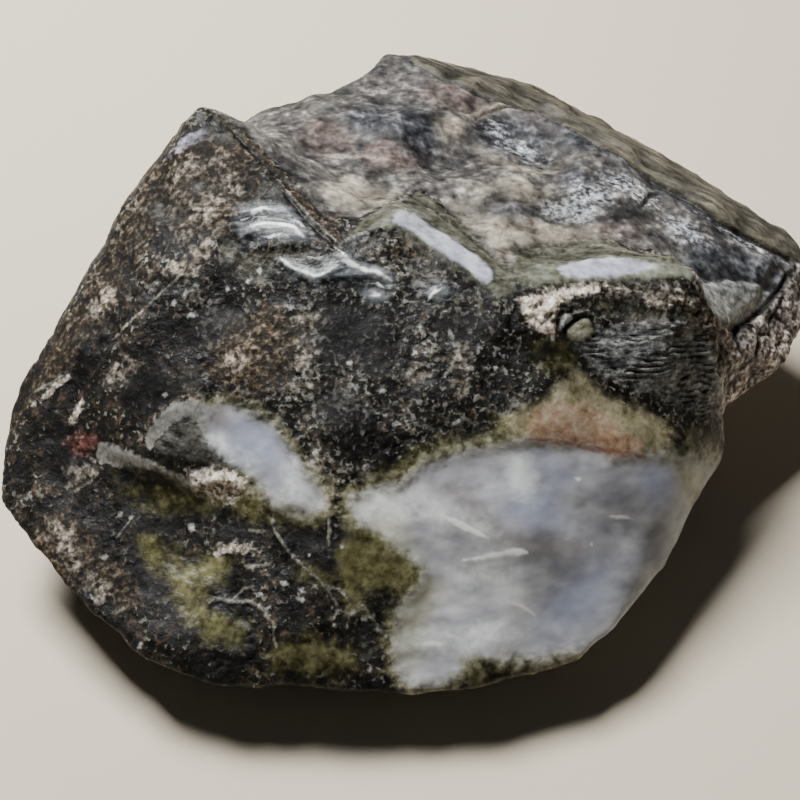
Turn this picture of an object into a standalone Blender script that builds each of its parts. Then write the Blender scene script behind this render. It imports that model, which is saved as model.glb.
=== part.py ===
"""Raw jadeite stone: one broken, water-worn piece of a black-skinned boulder.

A domed front face slopes down to a thin front rim. Behind it three shoulders end in a zigzag ridge,
and a step drops from the ridge to a weathered shelf of old skin at the back. The underside curves
in to a small flat spot, which the stone rests on.

Run it with: blender --background --python part.py
The frame is in metres, +Z up, with the origin on the ground under the middle of the stone.
"""

import math

import bmesh
import bpy
import numpy as np
from mathutils import Matrix, Vector, noise

NAME = "jadeite_stone"
COLLECTION = "raw_jadeite_stone"
SKIN_COLOUR = (0.052, 0.047, 0.042, 1.0)
MM = 0.001

# How far the stone is worn: the grain it is worn at, the passes over its edges and over its domed
# faces, how far from an edge and how high the doming sets in, and the triangles kept at the end.
GRAIN = 0.7
WEAR_PASSES = 7
DOME_PASSES = 90
DOME_CLEARANCE = (2.0, 8.0)
DOME_FLOOR = (6.0, 16.0)
TRIANGLES = 9000

# Every corner and distance below is in millimetres: x to the right, y to the back, z up.
FRONT_RIM = (
    (-49.3, -7.0, 16.5),
    (-48.8, -12.9, 14.5),
    (-44.7, -18.3, 12.5),
    (-36.6, -26.5, 10.5),
    (-29.2, -32.8, 9.5),
    (-21.4, -36.2, 9.0),
    (-8.1, -36.0, 9.0),
    (9.3, -36.2, 8.0),
    (18.9, -33.4, 8.0),
    (25.4, -29.2, 9.0),
    (34.4, -15.0, 11.5),
    (41.5, -3.0, 13.5),
)
LEFT_EDGE = (
    (-34.2, 16.5, 31.0),
    (-41.8, 6.0, 24.0),
    (-48.6, -1.6, 19.0),
)
RIGHT_END = (
    (42.9, 2.3, 14.0),
    (48.2, 8.6, 14.0),
    (53.0, 13.6, 16.0),
    (54.4, 23.4, 19.0),
    (52.0, 26.2, 21.0),
)
BACK_RIM = (
    (44.4, 33.2, 22.0),
    (33.6, 41.3, 23.0),
    (20.4, 50.5, 24.0),
    (17.0, 52.2, 25.8),
    (6.2, 50.8, 28.4),
    (-0.7, 54.6, 29.2),
    (-19.8, 40.4, 30.4),
)
OUTER_RIM = FRONT_RIM + RIGHT_END + BACK_RIM
SHELF = (
    (9.6, 47.2, 28.9),
    (19.1, 43.8, 28.4),
    (31.8, 31.9, 28.0),
    (41.8, 24.5, 25.8),
    (50.4, 21.1, 22.2),
    (46.6, 12.5, 22.5),
    (-18.6, 29.0, 35.4),
    (-12.5, 20.8, 35.2),
    (-7.6, 15.6, 34.6),
    (0.0, 19.4, 34.6),
    (5.0, 19.2, 33.8),
    (13.4, 8.2, 32.4),
    (24.9, 14.7, 30.4),
    (34.7, 12.4, 28.8),
    (37.4, 6.4, 27.6),
)
UNDERSIDE = (
    (-46.0, 2.0, 11.0),
    (-37.0, 27.0, 15.0),
    (-21.0, 42.5, 15.0),
    (0.0, 54.0, 14.0),
    (20.0, 50.5, 13.0),
    (34.0, 41.5, 12.0),
    (46.5, 31.0, 11.5),
    (50.0, 20.5, 10.0),
    (-34.0, -18.0, 3.5),
    (-20.0, -27.0, 3.0),
    (6.0, -27.0, 2.8),
    (20.0, -22.0, 3.0),
    (33.0, -2.0, 4.0),
    (39.0, 16.0, 4.0),
    (28.0, 33.0, 4.0),
    (2.0, 41.0, 4.5),
    (-22.0, 33.0, 4.5),
    (-35.0, 8.0, 4.0),
)
RESTING_SPOT = (
    (-12.0, 0.0, -0.4),
    (-6.0, -5.0, -0.4),
    (6.0, -5.0, -0.4),
    (13.0, 0.0, -0.4),
    (15.0, 9.0, -0.4),
    (9.0, 17.0, -0.4),
    (-3.0, 18.0, -0.4),
    (-12.0, 12.0, -0.4),
)
FACE_CROWN = (
    (-28.0, 0.0, 31.0),
    (-17.0, -12.0, 27.6),
    (-4.0, -12.0, 28.6),
    (14.0, -13.0, 27.4),
    (27.0, -10.0, 24.4),
    (34.0, -4.0, 22.6),
)
LEFT_CREASE = (
    (-24.2, 9.4, 37.6),
    (-29.9, 4.1, 33.5),
    (-34.8, 1.3, 29.6),
    (-41.2, -1.5, 24.8),
)
LEFT_SHOULDER = (
    (-25.2, 27.0, 42.8),
    (-23.6, 28.4, 42.0),
    (-7.2, 7.4, 38.8),
    (-29.8, 26.0, 37.2),
    (-5.6, 9.4, 37.4),
    (-23.0, 29.4, 31.0),
    (-5.0, 10.0, 31.0),
    (-34.0, 24.0, 27.0),
)
MIDDLE_SHOULDER = (
    (-7.2, 7.4, 38.8),
    (-0.6, 10.4, 39.8),
    (12.6, 1.0, 35.8),
    (-8.2, 15.8, 34.2),
    (0.0, 19.3, 35.0),
    (5.0, 19.1, 34.0),
    (13.6, 8.0, 32.4),
)
RIGHT_SHOULDER = (
    (12.6, 0.2, 35.0),
    (17.4, 3.6, 36.0),
    (35.4, 6.8, 34.2),
    (38.8, 2.8, 28.6),
    (14.6, 11.0, 32.2),
    (24.9, 14.7, 31.0),
    (34.9, 12.2, 29.6),
)

# Hollows broken out with a crisp edge: middle, half sizes, and turn about the upright axis in degrees.
HOLLOWS = {
    "left_notch": ((-12.4, 50.4, 30.0), (12.0, 6.5, 30.0), 35.9),
    "right_notch": ((46.0, 0.4, 10.0), (8.0, 5.0, 24.0), 57.1),
    "back_scoop": ((14.0, 63.0, 12.0), (17.0, 13.0, 11.0), -20.0),
    "left_scoop": ((-41.0, 34.0, 16.0), (15.0, 10.0, 10.0), 50.0),
    "end_scoop": ((57.0, 10.0, 8.0), (9.0, 12.0, 9.0), 20.0),
    "under_scoop": ((35.0, 30.0, -5.0), (16.0, 12.0, 12.0), -50.0),
}

# The line of the zigzag ridge from the left edge to the right end, and the crack that edges the shelf.
RIDGE = (
    (-48.0, -4.0, 18.0),
    (-36.0, 17.0, 31.0),
    (-26.0, 26.5, 42.0),
    (-7.2, 7.4, 38.8),
    (-0.6, 10.4, 39.4),
    (12.6, 1.0, 35.4),
    (17.4, 3.6, 35.4),
    (35.4, 6.8, 33.6),
    (38.8, 2.8, 28.2),
    (41.5, -3.0, 18.0),
)
SHELF_CRACK = (
    (9.0, 46.8, 29.0),
    (19.0, 43.2, 28.3),
    (31.7, 31.6, 27.7),
    (41.7, 24.4, 25.4),
    (50.0, 20.4, 21.8),
    (46.8, 12.4, 22.3),
    (43.4, 8.9, 23.0),
    (41.0, 2.0, 19.8),
)
CRACK_WIDTH = 1.3
CRACK_DEPTH = 0.8

# The scar on the front face: it drops at its upper edge and runs out towards the rim.
SCAR_EDGE = (
    (-36.7, -9.2, 20.5),
    (-29.7, -12.5, 20.9),
    (-23.5, -15.6, 21.0),
    (-18.7, -17.5, 21.1),
    (-8.1, -19.6, 21.2),
)
SCAR_DEPTH = 1.8
SCAR_DROP = 2.6
SCAR_BOWL = ((-24.5, -18.0), (19.0, 13.5), -20.0)

# Dips in the skin, or bumps where the depth is below zero: middle, radius and depth.
DIPS = (
    ((20.7, -0.6, 33.0), 2.1, 1.3),
    ((17.8, 33.1, 29.8), 7.0, 1.4),
    ((28.5, 1.0, 32.6), 5.5, 0.7),
    ((35.5, 1.0, 29.5), 4.5, 0.6),
    ((0.0, 37.0, 31.9), 8.0, -1.2),
    ((7.0, 31.0, 32.0), 6.0, 0.8),
    ((-9.0, 30.5, 33.6), 6.5, 1.0),
    ((28.0, 23.0, 29.3), 7.0, -0.8),
    ((38.5, 21.5, 26.6), 5.0, -0.6),
    ((-15.0, 9.5, 37.6), 6.0, -0.7),
    ((-8.5, 3.6, 36.6), 5.0, -0.5),
    ((4.0, 1.6, 36.0), 5.0, -0.5),
    ((-13.8, -13.0, 24.6), 7.0, 0.6),
    ((-26.0, -8.5, 24.6), 4.0, -0.6),
)
WARP = 0.3

# Slow waves that bend the edges and faces alike.
WAVE_SIZE = 13.0
WAVE_HEIGHT = 0.9

# Lumps all over the skin, as (size, height) for each part of the stone.
FACE_LUMPS = ((17.0, 1.1), (7.5, 0.45))
SHELF_LUMPS = ((10.0, 1.1), (4.5, 0.5))
BROKEN_LUMPS = ((14.0, 1.3), (5.5, 0.6))
END_LUMPS = ((7.0, 1.6), (3.5, 0.7))


def block(name, *corner_groups):
    """A solid with flat faces through the outermost of the given corners."""
    shape = bmesh.new()
    for corner in sorted({corner for group in corner_groups for corner in group}):
        shape.verts.new(Vector(corner) * MM)
    made = bmesh.ops.convex_hull(shape, input=shape.verts)
    inside = [v for v in made["geom_interior"] if isinstance(v, bmesh.types.BMVert)]
    bmesh.ops.delete(shape, geom=inside, context="VERTS")
    bmesh.ops.recalc_face_normals(shape, faces=shape.faces)
    return finished(name, shape)


def egg(name, middle, half_sizes, turn):
    """An ellipsoid turned about its upright axis, to break a hollow with."""
    shape = bmesh.new()
    bmesh.ops.create_uvsphere(shape, u_segments=40, v_segments=24, radius=1.0)
    sized = Matrix.Diagonal(Vector(half_sizes) * MM).to_4x4()
    turned = Matrix.Rotation(math.radians(turn), 4, "Z")
    placed = Matrix.Translation(Vector(middle) * MM)
    bmesh.ops.transform(shape, matrix=placed @ turned @ sized, verts=shape.verts)
    return finished(name, shape)


def finished(name, shape):
    """An object holding the shape, which is used up."""
    mesh = bpy.data.meshes.new(name)
    shape.to_mesh(mesh)
    shape.free()
    return bpy.data.objects.new(name, mesh)


def combine(rough, helper, operation, helpers):
    """Joins a helper to the rough stone, or cuts it away."""
    helper.hide_render = True
    helper.display_type = "WIRE"
    helpers.objects.link(helper)
    change = rough.modifiers.new(f"{operation.lower()} {helper.name}", "BOOLEAN")
    change.operation = operation
    change.solver = "EXACT"
    change.object = helper


def bake(stone):
    """Replaces the stone's mesh with what its modifiers make of it."""
    bpy.context.view_layer.update()
    graph = bpy.context.evaluated_depsgraph_get()
    mesh = bpy.data.meshes.new_from_object(stone.evaluated_get(graph))
    stone.modifiers.clear()
    stone.data = mesh


def vertices_of(mesh):
    """The vertices as rows of millimetres."""
    flat = np.empty(len(mesh.vertices) * 3, np.float32)
    mesh.vertices.foreach_get("co", flat)
    return flat.reshape(-1, 3).astype(np.float64) / MM


def normals_of(mesh):
    """The outward direction at each vertex."""
    flat = np.empty(len(mesh.vertices) * 3, np.float32)
    mesh.vertex_normals.foreach_get("vector", flat)
    return flat.reshape(-1, 3).astype(np.float64)


def fade(values, low, high):
    """Rises smoothly from 0 at low to 1 at high, or falls if high is the smaller."""
    share = np.clip((values - low) / (high - low), 0.0, 1.0)
    return share * share * (3.0 - 2.0 * share)


def beside_line(points, line):
    """For each point: its distance to a line through corners, the share of the line passed, and how far
    it is in front of the line."""
    corners = np.array(line)
    best = np.full(len(points), np.inf)
    along = np.zeros(len(points))
    front = np.zeros(len(points))
    run = 0.0
    for start, end in zip(corners[:-1], corners[1:]):
        step = end - start
        length = np.linalg.norm(step)
        share = np.clip((points - start) @ step / length**2, 0.0, 1.0)
        off = points - (start + share[:, None] * step)
        away = np.linalg.norm(off, axis=1)
        nearer = away < best
        best[nearer] = away[nearer]
        along[nearer] = (run + share * length)[nearer]
        front[nearer] = ((off[:, 0] * step[1] - off[:, 1] * step[0]) / np.hypot(step[0], step[1]))[nearer]
        run += length
    return best, along / run, front


def lumps(points, layers, seed):
    """Rolling noise, summed over layers of (size, height)."""
    total = np.zeros(len(points))
    for size, height in layers:
        shifted = (points + seed) / size
        total += height * np.array([noise.noise(Vector(p)) for p in shifted])
    return total


def waves(points, size, seed):
    """A smooth random step in each direction at each point, that changes over the given size."""
    return np.column_stack([lumps(points, ((size, 1.0),), seed + 50.0 * axis) for axis in range(3)])


def bowl(points, middle, radii, turn):
    """Falls from 1 over the middle of an ellipse drawn on the ground to 0 at its edge."""
    angle = math.radians(turn)
    off = points[:, :2] - np.array(middle)
    long = (off[:, 0] * math.cos(angle) + off[:, 1] * math.sin(angle)) / radii[0]
    wide = (off[:, 1] * math.cos(angle) - off[:, 0] * math.sin(angle)) / radii[1]
    return np.clip(1.0 - long**2 - wide**2, 0.0, 1.0)


def relief(points, normals):
    """How far the skin stands out at each point, in millimetres."""
    ridge_gap, _, front_of_ridge = beside_line(points, RIDGE)
    rim_gap, _, _ = beside_line(points, OUTER_RIM)
    high = fade(points[:, 2], 15.0, 21.0)
    looks_up = fade(normals[:, 2], 0.0, 0.35)
    behind = fade(-front_of_ridge, 3.0, 7.0)
    shelf = looks_up * high * behind
    face = looks_up * (1.0 - shelf)
    end = fade(points[:, 0], 42.0, 47.0) * fade(points[:, 1], -4.0, 2.0) * (1.0 - shelf)
    broken = (1.0 - looks_up) * (1.0 - end)

    height = face * (1.0 - end) * fade(ridge_gap, 0.5, 4.0) * lumps(points, FACE_LUMPS, 3.0)
    height += shelf * lumps(points, SHELF_LUMPS, 40.0)
    height += broken * lumps(points, BROKEN_LUMPS, 80.0)
    height += end * lumps(points, END_LUMPS, 120.0)

    height *= fade(rim_gap, 0.0, 5.0)

    drift = waves(points, 5.0, 200.0)
    for middle, radius, depth in DIPS:
        away = np.linalg.norm(points + WARP * radius * drift - np.array(middle), axis=1) / radius
        height -= depth * np.clip(1.0 - away**2, 0.0, 1.0) ** 1.5

    crack_gap, crack_along, _ = beside_line(points, SHELF_CRACK)
    ends = fade(crack_along, 0.0, 0.12) * fade(crack_along, 1.0, 0.9)
    height -= CRACK_DEPTH * ends * fade(crack_gap, CRACK_WIDTH, 0.2)

    _, _, below_scar = beside_line(points, SCAR_EDGE)
    drop = fade(below_scar + drift[:, 2], 0.0, SCAR_DROP)
    height -= SCAR_DEPTH * drop * bowl(points + 2.0 * drift, *SCAR_BOWL) * looks_up
    return height * fade(points[:, 2], 0.2, 4.0)


def break_out(parts, helpers):
    """The stone as broken blocks, with its hollows cut."""
    stone = block(NAME, FRONT_RIM, LEFT_EDGE, RIGHT_END, BACK_RIM, SHELF, UNDERSIDE, RESTING_SPOT)
    parts.objects.link(stone)
    shoulders = {
        "left_shoulder": LEFT_SHOULDER + LEFT_CREASE + LEFT_EDGE,
        "middle_shoulder": MIDDLE_SHOULDER,
        "right_shoulder": RIGHT_SHOULDER,
    }
    for name, corners in shoulders.items():
        combine(stone, block(name, corners, FRONT_RIM, FACE_CROWN), "UNION", helpers)
    for name, (middle, half_sizes, turn) in HOLLOWS.items():
        combine(stone, egg(name, middle, half_sizes, turn), "DIFFERENCE", helpers)
    return stone


def wear_down(stone):
    """Softens every edge a little, and makes the faces between the ridge and the rim round."""
    grain = stone.modifiers.new("grain", "REMESH")
    grain.mode = "VOXEL"
    grain.voxel_size = GRAIN * MM
    wear = stone.modifiers.new("wear", "SMOOTH")
    wear.factor = 0.5
    wear.iterations = WEAR_PASSES
    bake(stone)

    points = vertices_of(stone.data)
    ridge_gap, _, _ = beside_line(points, RIDGE)
    rim_gap, _, _ = beside_line(points, OUTER_RIM)
    roundness = fade(np.minimum(ridge_gap, rim_gap), *DOME_CLEARANCE) * fade(points[:, 2], *DOME_FLOOR)
    group = stone.vertex_groups.new(name="roundness")
    for index, weight in enumerate(roundness):
        group.add([index], float(weight), "REPLACE")
    dome = stone.modifiers.new("dome", "SMOOTH")
    dome.factor = 0.5
    dome.iterations = DOME_PASSES
    dome.vertex_group = group.name
    bake(stone)
    stone.vertex_groups.clear()


def carve_skin(stone):
    """Raises the lumps, sinks the dips and cracks, and thins the mesh."""
    points = vertices_of(stone.data)
    normals = normals_of(stone.data)
    raised = fade(points[:, 2], 0.0, 8.0)[:, None]
    points += normals * relief(points, normals)[:, None]
    points += WAVE_HEIGHT * waves(points, WAVE_SIZE, 400.0) * raised
    stone.data.vertices.foreach_set("co", (points * MM).ravel())
    stone.data.update()
    thin = stone.modifiers.new("thin", "DECIMATE")
    thin.ratio = TRIANGLES / (2 * len(points))
    bake(stone)


def set_down(stone):
    """Cuts the flat spot at the ground, and moves the origin to the ground under the middle."""
    shape = bmesh.new()
    shape.from_mesh(stone.data)
    everything = shape.verts[:] + shape.edges[:] + shape.faces[:]
    cut = bmesh.ops.bisect_plane(
        shape, geom=everything, dist=1e-7, plane_co=(0, 0, 0), plane_no=(0, 0, 1), clear_inner=True
    )
    border = [e for e in cut["geom_cut"] if isinstance(e, bmesh.types.BMEdge)]
    bmesh.ops.triangle_fill(shape, edges=border, use_beauty=True)
    bmesh.ops.triangulate(shape, faces=shape.faces)
    bmesh.ops.recalc_face_normals(shape, faces=shape.faces)
    low = [min(v.co[axis] for v in shape.verts) for axis in range(2)]
    high = [max(v.co[axis] for v in shape.verts) for axis in range(2)]
    middle = Vector(((low[0] + high[0]) / 2, (low[1] + high[1]) / 2, 0.0))
    bmesh.ops.translate(shape, vec=-middle, verts=shape.verts)
    shape.to_mesh(stone.data)
    shape.free()


def colour(stone):
    """Gives the stone its dark skin."""
    skin = bpy.data.materials.new("weathered_skin")
    skin.use_nodes = True
    surface = skin.node_tree.nodes["Principled BSDF"]
    surface.inputs["Base Color"].default_value = SKIN_COLOUR
    surface.inputs["Roughness"].default_value = 0.35
    stone.data.materials.append(skin)


def main():
    """Builds the stone."""
    for old in list(bpy.data.objects):
        bpy.data.objects.remove(old)
    parts = bpy.data.collections.new(COLLECTION)
    helpers = bpy.data.collections.new("helpers")
    bpy.context.scene.collection.children.link(parts)
    bpy.context.scene.collection.children.link(helpers)
    stone = break_out(parts, helpers)
    wear_down(stone)
    carve_skin(stone)
    set_down(stone)
    colour(stone)


main()
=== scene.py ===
"""Raw jadeite stone: the broken black skin, the windows of pale jade and the weathered shelf.

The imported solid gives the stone's form. This script copies it, refines the copy until fine relief
holds, raises the flecks, folds, crumbs and cracks of the skin, and colours each area of it.
"""

import logging
import math
from collections.abc import Callable
from dataclasses import dataclass, field
from enum import Enum
from functools import wraps

import bmesh
import bpy
import numpy as np
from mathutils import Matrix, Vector, noise


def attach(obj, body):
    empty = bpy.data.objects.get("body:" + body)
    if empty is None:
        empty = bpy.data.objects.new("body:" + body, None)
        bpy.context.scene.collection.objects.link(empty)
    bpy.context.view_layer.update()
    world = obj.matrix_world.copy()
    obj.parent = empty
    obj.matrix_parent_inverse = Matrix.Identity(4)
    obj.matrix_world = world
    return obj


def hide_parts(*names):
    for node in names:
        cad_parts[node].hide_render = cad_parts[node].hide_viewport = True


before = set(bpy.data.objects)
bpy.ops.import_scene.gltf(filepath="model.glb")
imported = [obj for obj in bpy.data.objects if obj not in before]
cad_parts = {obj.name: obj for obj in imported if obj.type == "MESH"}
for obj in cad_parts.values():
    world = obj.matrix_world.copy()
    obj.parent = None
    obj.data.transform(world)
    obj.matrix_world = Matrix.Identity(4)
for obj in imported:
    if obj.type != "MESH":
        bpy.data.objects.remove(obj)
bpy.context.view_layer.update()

LOG = logging.getLogger("jadeite")
MM = 0.001
FAR = 8.0  # millimetres past which the distance to an area's edge no longer matters
GRIT_SIZE = 0.625  # millimetres, of a crushed crumb
CRYSTAL_SIZE = 0.7  # millimetres
EVEN = (1.0, 1.0, 1.0)  # a stretch that stretches nothing
WANDER = 5.0  # makes of noise around 0.5 a wander of about 1 either way
LAYER_TURN = -33.0  # degrees, of the thin layers in the shelf's outer band

Triple = tuple[float, float, float]
Colour = Triple
Place = tuple[float, float]
Points = np.ndarray
Socket = bpy.types.NodeSocket


class Area(Enum):
    """A part of the skin with its own look. The mesh keeps, for each one, the distance inside its edge."""

    SHELF = "shelf"
    PINK = "pink"
    CREAM = "cream"
    SLATE = "slate"
    # painted glints
    PAINTED_GLINTS = "glitter"
    BAND = "band"
    BROKEN = "broken"
    STREAKED = "streaked"
    FACET = "facet"
    PALE_FACET = "pale_facet"
    BROWN = "brown"
    LILAC = "lilac"
    # glossy folds, their grey streaks painted sheen
    SHEEN_FOLDS = "foil"
    GLARE = "glare"
    SPARSE = "sparse"
    SEAM = "seam"
    STRIATED = "striated"
    # painted shade
    RECESS_SHADE = "recess"
    DARK_OLIVE = "dark_olive"
    OLIVE = "olive"
    PALE_OLIVE = "pale_olive"
    TAN = "tan"
    RUST = "rust"
    JADE = "jade"
    MILK = "milk"
    CLOUD = "cloud"
    SKY = "sky"
    # painted shade in the jade
    JADE_SHADE = "dusk"
    SMOKE = "smoke"
    STRIP = "strip"
    # a grey plate, and a painted highlight on the scar's edge
    PLATE_AND_EDGE_HIGHLIGHT = "plate"
    BUFF = "buff"
    CALM = "calm"
    CRUMB = "crumb"
    LUMP = "lump"
    FLECK = "fleck"
    VEIN = "vein"
    # painted highlights
    PAINTED_HIGHLIGHT = "gleam"
    CRACK = "crack"
    RED = "red"
    BEAD = "bead"


# The mesh also keeps how far the skin was raised, in millimetres, and how much of its fine grain shows.
RELIEF = "relief"
GRAIN = "grain"


@dataclass(frozen=True)
class Outline:
    """A closed outline on the ground plan, in millimetres.

    lowest is how far down the skin may face, as the upright part of its direction, and still be in it.
    """

    area: Area
    corners: tuple[Place, ...]
    lowest: float = -0.2

    def depth(self, points: Points) -> Points:
        """Distance inside the outline.

        Args:
            points: Rows of millimetres.

        Returns:
            One distance for each row, below zero outside.
        """
        ends = np.array(self.corners)
        starts = np.roll(ends, 1, axis=0)
        away = np.full(len(points), np.inf)
        crossings = np.zeros(len(points), dtype=int)
        for start, end in zip(starts, ends):
            away = np.minimum(away, gap_to_segment(points[:, :2], start, end)[0])
            spans = (start[1] > points[:, 1]) != (end[1] > points[:, 1])
            rise = end[1] - start[1]
            if rise:
                meets = start[0] + (points[:, 1] - start[1]) * (end[0] - start[0]) / rise
                crossings += spans & (points[:, 0] < meets)
        return np.where(crossings % 2 == 1, away, -away)


@dataclass(frozen=True)
class Spot:
    """A soft oval on the ground plan: its middle, its half sizes in millimetres and its turn in degrees."""

    area: Area
    middle: Place
    half_sizes: Place
    turn: float = 0.0
    lowest: float = -0.2

    def depth(self, points: Points) -> Points:
        """Distance inside the oval.

        Args:
            points: Rows of millimetres.

        Returns:
            One distance for each row, below zero outside.
        """
        angle = math.radians(self.turn)
        off = points[:, :2] - np.array(self.middle)
        along = (off[:, 0] * math.cos(angle) + off[:, 1] * math.sin(angle)) / self.half_sizes[0]
        across = (off[:, 1] * math.cos(angle) - off[:, 0] * math.sin(angle)) / self.half_sizes[1]
        return (1.0 - np.hypot(along, across)) * min(self.half_sizes)


@dataclass(frozen=True)
class Trace:
    """A thin line on the ground plan, through the given places, and half its width in millimetres.

    It thins out towards both ends unless it is even.
    """

    area: Area
    places: tuple[Place, ...]
    half_width: float = 0.3
    even: bool = False
    lowest: float = -0.2

    def depth(self, points: Points) -> Points:
        """Distance inside the line's edge.

        Args:
            points: Rows of millimetres.

        Returns:
            One distance for each row, below zero outside.
        """
        inside = np.full(len(points), -np.inf)
        stretches = len(self.places) - 1
        for index in range(stretches):
            start, end = np.array(self.places[index]), np.array(self.places[index + 1])
            away, share = gap_to_segment(points[:, :2], start, end)
            along = 2.0 * (index + share) / stretches - 1.0
            width = self.half_width * (1.0 if self.even else np.sqrt(np.clip(1.0 - along * along, 0.0, 1.0)))
            inside = np.maximum(inside, width - away)
        return inside


def outlines(area: Area, *rings: tuple[Place, ...], lowest: float = -0.2) -> tuple[Outline, ...]:
    """Outlines of one area, each from its corners."""
    return tuple(Outline(area, ring, lowest) for ring in rings)


def spots(area: Area, *ovals: tuple[float, ...]) -> tuple[Spot, ...]:
    """Ovals of one area, each from its middle, its half sizes and, if it has one, its turn."""
    return tuple(Spot(area, oval[:2], oval[2:4], *oval[4:]) for oval in ovals)


def traces(area: Area, *lines: tuple[float | Place, ...], even: bool = False) -> tuple[Trace, ...]:
    """Lines of one area, each from half its width and the places along it."""
    return tuple(Trace(area, tuple(places), half_width, even) for half_width, *places in lines)


def gap_to_segment(places: Points, start: Points, end: Points) -> tuple[Points, Points]:
    """Distance from each place to a straight stretch.

    Args:
        places: Rows of two millimetre values.
        start: One end of the stretch.
        end: Its other end.

    Returns:
        One distance for each row, and how far along the stretch the nearest point is, from 0 to 1.
    """
    step = end - start
    share = np.clip((places - start) @ step / max(float(step @ step), 1e-9), 0.0, 1.0)
    return np.linalg.norm(places - start - share[:, None] * step, axis=1), share


def fade(values: Points, low: float, high: float) -> Points:
    """Rises smoothly from 0 to 1.

    Args:
        values: What to judge.
        low: Where the rise begins.
        high: Where it ends. If it is the smaller, the result falls instead.

    Returns:
        One share for each value.
    """
    share = np.clip((values - low) / (high - low), 0.0, 1.0)
    return share * share * (3.0 - 2.0 * share)


def rough(points: Points, size: float, seed: float, stretch: Triple = EVEN) -> Points:
    """Rolling noise between about -1 and 1.

    Args:
        points: Rows of millimetres.
        size: The size of a lump, in millimetres.
        seed: Shifts the pattern.
        stretch: How many times longer the lumps are along each axis.

    Returns:
        One height for each row.
    """
    shifted = (points + seed) / (size * np.array(stretch))
    return np.array([noise.noise(Vector(place)) for place in shifted])


def turned(points: Points, angle: float) -> Points:
    """Turns points back about the upright axis, so that a stretched pattern lies at an angle.

    Args:
        points: Rows of millimetres.
        angle: The angle in degrees.

    Returns:
        The turned rows.
    """
    across, along = math.sin(math.radians(angle)), math.cos(math.radians(angle))
    return points @ np.array(((along, -across, 0.0), (across, along, 0.0), (0.0, 0.0, 1.0)))


def clods(points: Points, size: float, seed: float) -> Points:
    """Crumbs with sharp crevices between them, from 0 in a crevice to 1 on a crumb.

    Args:
        points: Rows of millimetres.
        size: The size of a crumb, in millimetres.
        seed: Shifts the pattern.

    Returns:
        One height for each row.
    """
    shifted = (points + seed) / size
    gaps = np.array([noise.noise(Vector(place), noise_basis="VORONOI_F2F1") for place in shifted])
    return np.clip((gaps + 1.0) / 0.5, 0.0, 1.0)


@dataclass(frozen=True)
class Eye:
    """A bead in a trough, with a lip beyond the trough on one side.

    Sizes and heights are in millimetres. The trough and the lip lie at so many times the bead's own
    half sizes from the middle. lip_side is the lip's direction in degrees, and the eye only shows on
    skin that is less than reach above or below its level.
    """

    middle: Place = (18.6, -10.0)
    half_sizes: Place = (1.6, 1.2)
    level: float = 32.0
    reach: float = 4.0
    bead_height: float = 0.4
    trough_at: float = 1.1
    trough_depth: float = 0.1
    lip_at: float = 1.42
    lip_height: float = 0.42
    lip_side: float = 140.0

    def relief(self, points: Points) -> Points:
        """How far the eye stands out.

        Args:
            points: Rows of millimetres.

        Returns:
            The height at each.
        """
        off = (points[:, :2] - np.array(self.middle)) / np.array(self.half_sizes)
        away = np.hypot(off[:, 0], off[:, 1])
        side = np.degrees(np.arctan2(off[:, 1], off[:, 0]))
        beside_lip = fade(-np.abs(side - self.lip_side), -95.0, -45.0)
        bead = self.bead_height * np.sqrt(np.clip(1.0 - away**4, 0.0, 1.0))
        ring = fade(-np.abs(away - self.trough_at), -0.12, -0.03)
        trough = -self.trough_depth * (0.3 + 0.7 * beside_lip) * ring
        lip = self.lip_height * beside_lip * fade(-np.abs(away - self.lip_at), -0.26, -0.08)
        return (bead + trough + lip) * (np.abs(points[:, 2] - self.level) < self.reach)


# The areas of the skin, from the windows outwards.
MAIN_WINDOW = Outline(
    Area.JADE,
    (
        (-8.2, -28.3), (-5.7, -27.5), (-2.5, -27.1), (0.2, -25.4), (3.3, -24.6), (11.2, -23.0), (20.6, -21.6),
        (22.3, -22.5), (27.1, -20.8), (31.6, -19.3), (36.0, -17.0), (42.0, -13.0), (37.0, -24.5),
        (31.0, -36.0), (25.5, -41.0), (21.0, -40.0), (17.8, -39.6), (15.8, -40.5), (13.6, -40.9),
        (8.9, -41.5), (5.4, -41.6), (4.0, -42.3), (3.7, -43.3), (1.9, -44.2), (-1.5, -44.2), (-2.9, -42.7),
        (-3.2, -40.5), (-2.2, -37.7), (0.1, -36.0), (0.5, -34.0), (-2.2, -32.5), (-5.0, -30.8), (-7.5, -29.9),
    ),
    lowest=-0.6,
)
SMALL_WINDOW = Outline(
    Area.JADE,
    (
        (-25.6, -19.2), (-24.7, -18.5), (-23.1, -18.7), (-20.5, -19.7), (-17.8, -21.0), (-16.3, -22.8),
        (-15.1, -24.2), (-14.3, -25.6), (-13.2, -26.2), (-12.2, -27.1), (-11.8, -28.3), (-12.8, -28.9),
        (-15.1, -28.5), (-17.0, -28.0), (-18.1, -26.7), (-19.2, -25.4), (-20.5, -24.1), (-22.6, -23.0),
        (-24.1, -21.5), (-25.3, -20.3),
    ),
)
STRIPS = outlines(
    Area.STRIP,
    (
        (-3.5, 2.0), (-2.7, 3.4), (-1.1, 4.3), (2.1, 2.4), (5.7, -0.7), (7.9, -3.5), (8.2, -5.4),
        (7.3, -6.4), (5.6, -4.9), (2.0, -2.3), (-1.5, 0.0), (-3.5, 0.8),
    ),
    (
        (15.9, -3.1), (18.5, -1.2), (21.7, -0.5), (25.0, -0.7), (28.6, -1.4), (26.0, -3.2), (22.8, -4.0),
        (19.4, -4.6), (16.8, -4.7),
    ),
)
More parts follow.
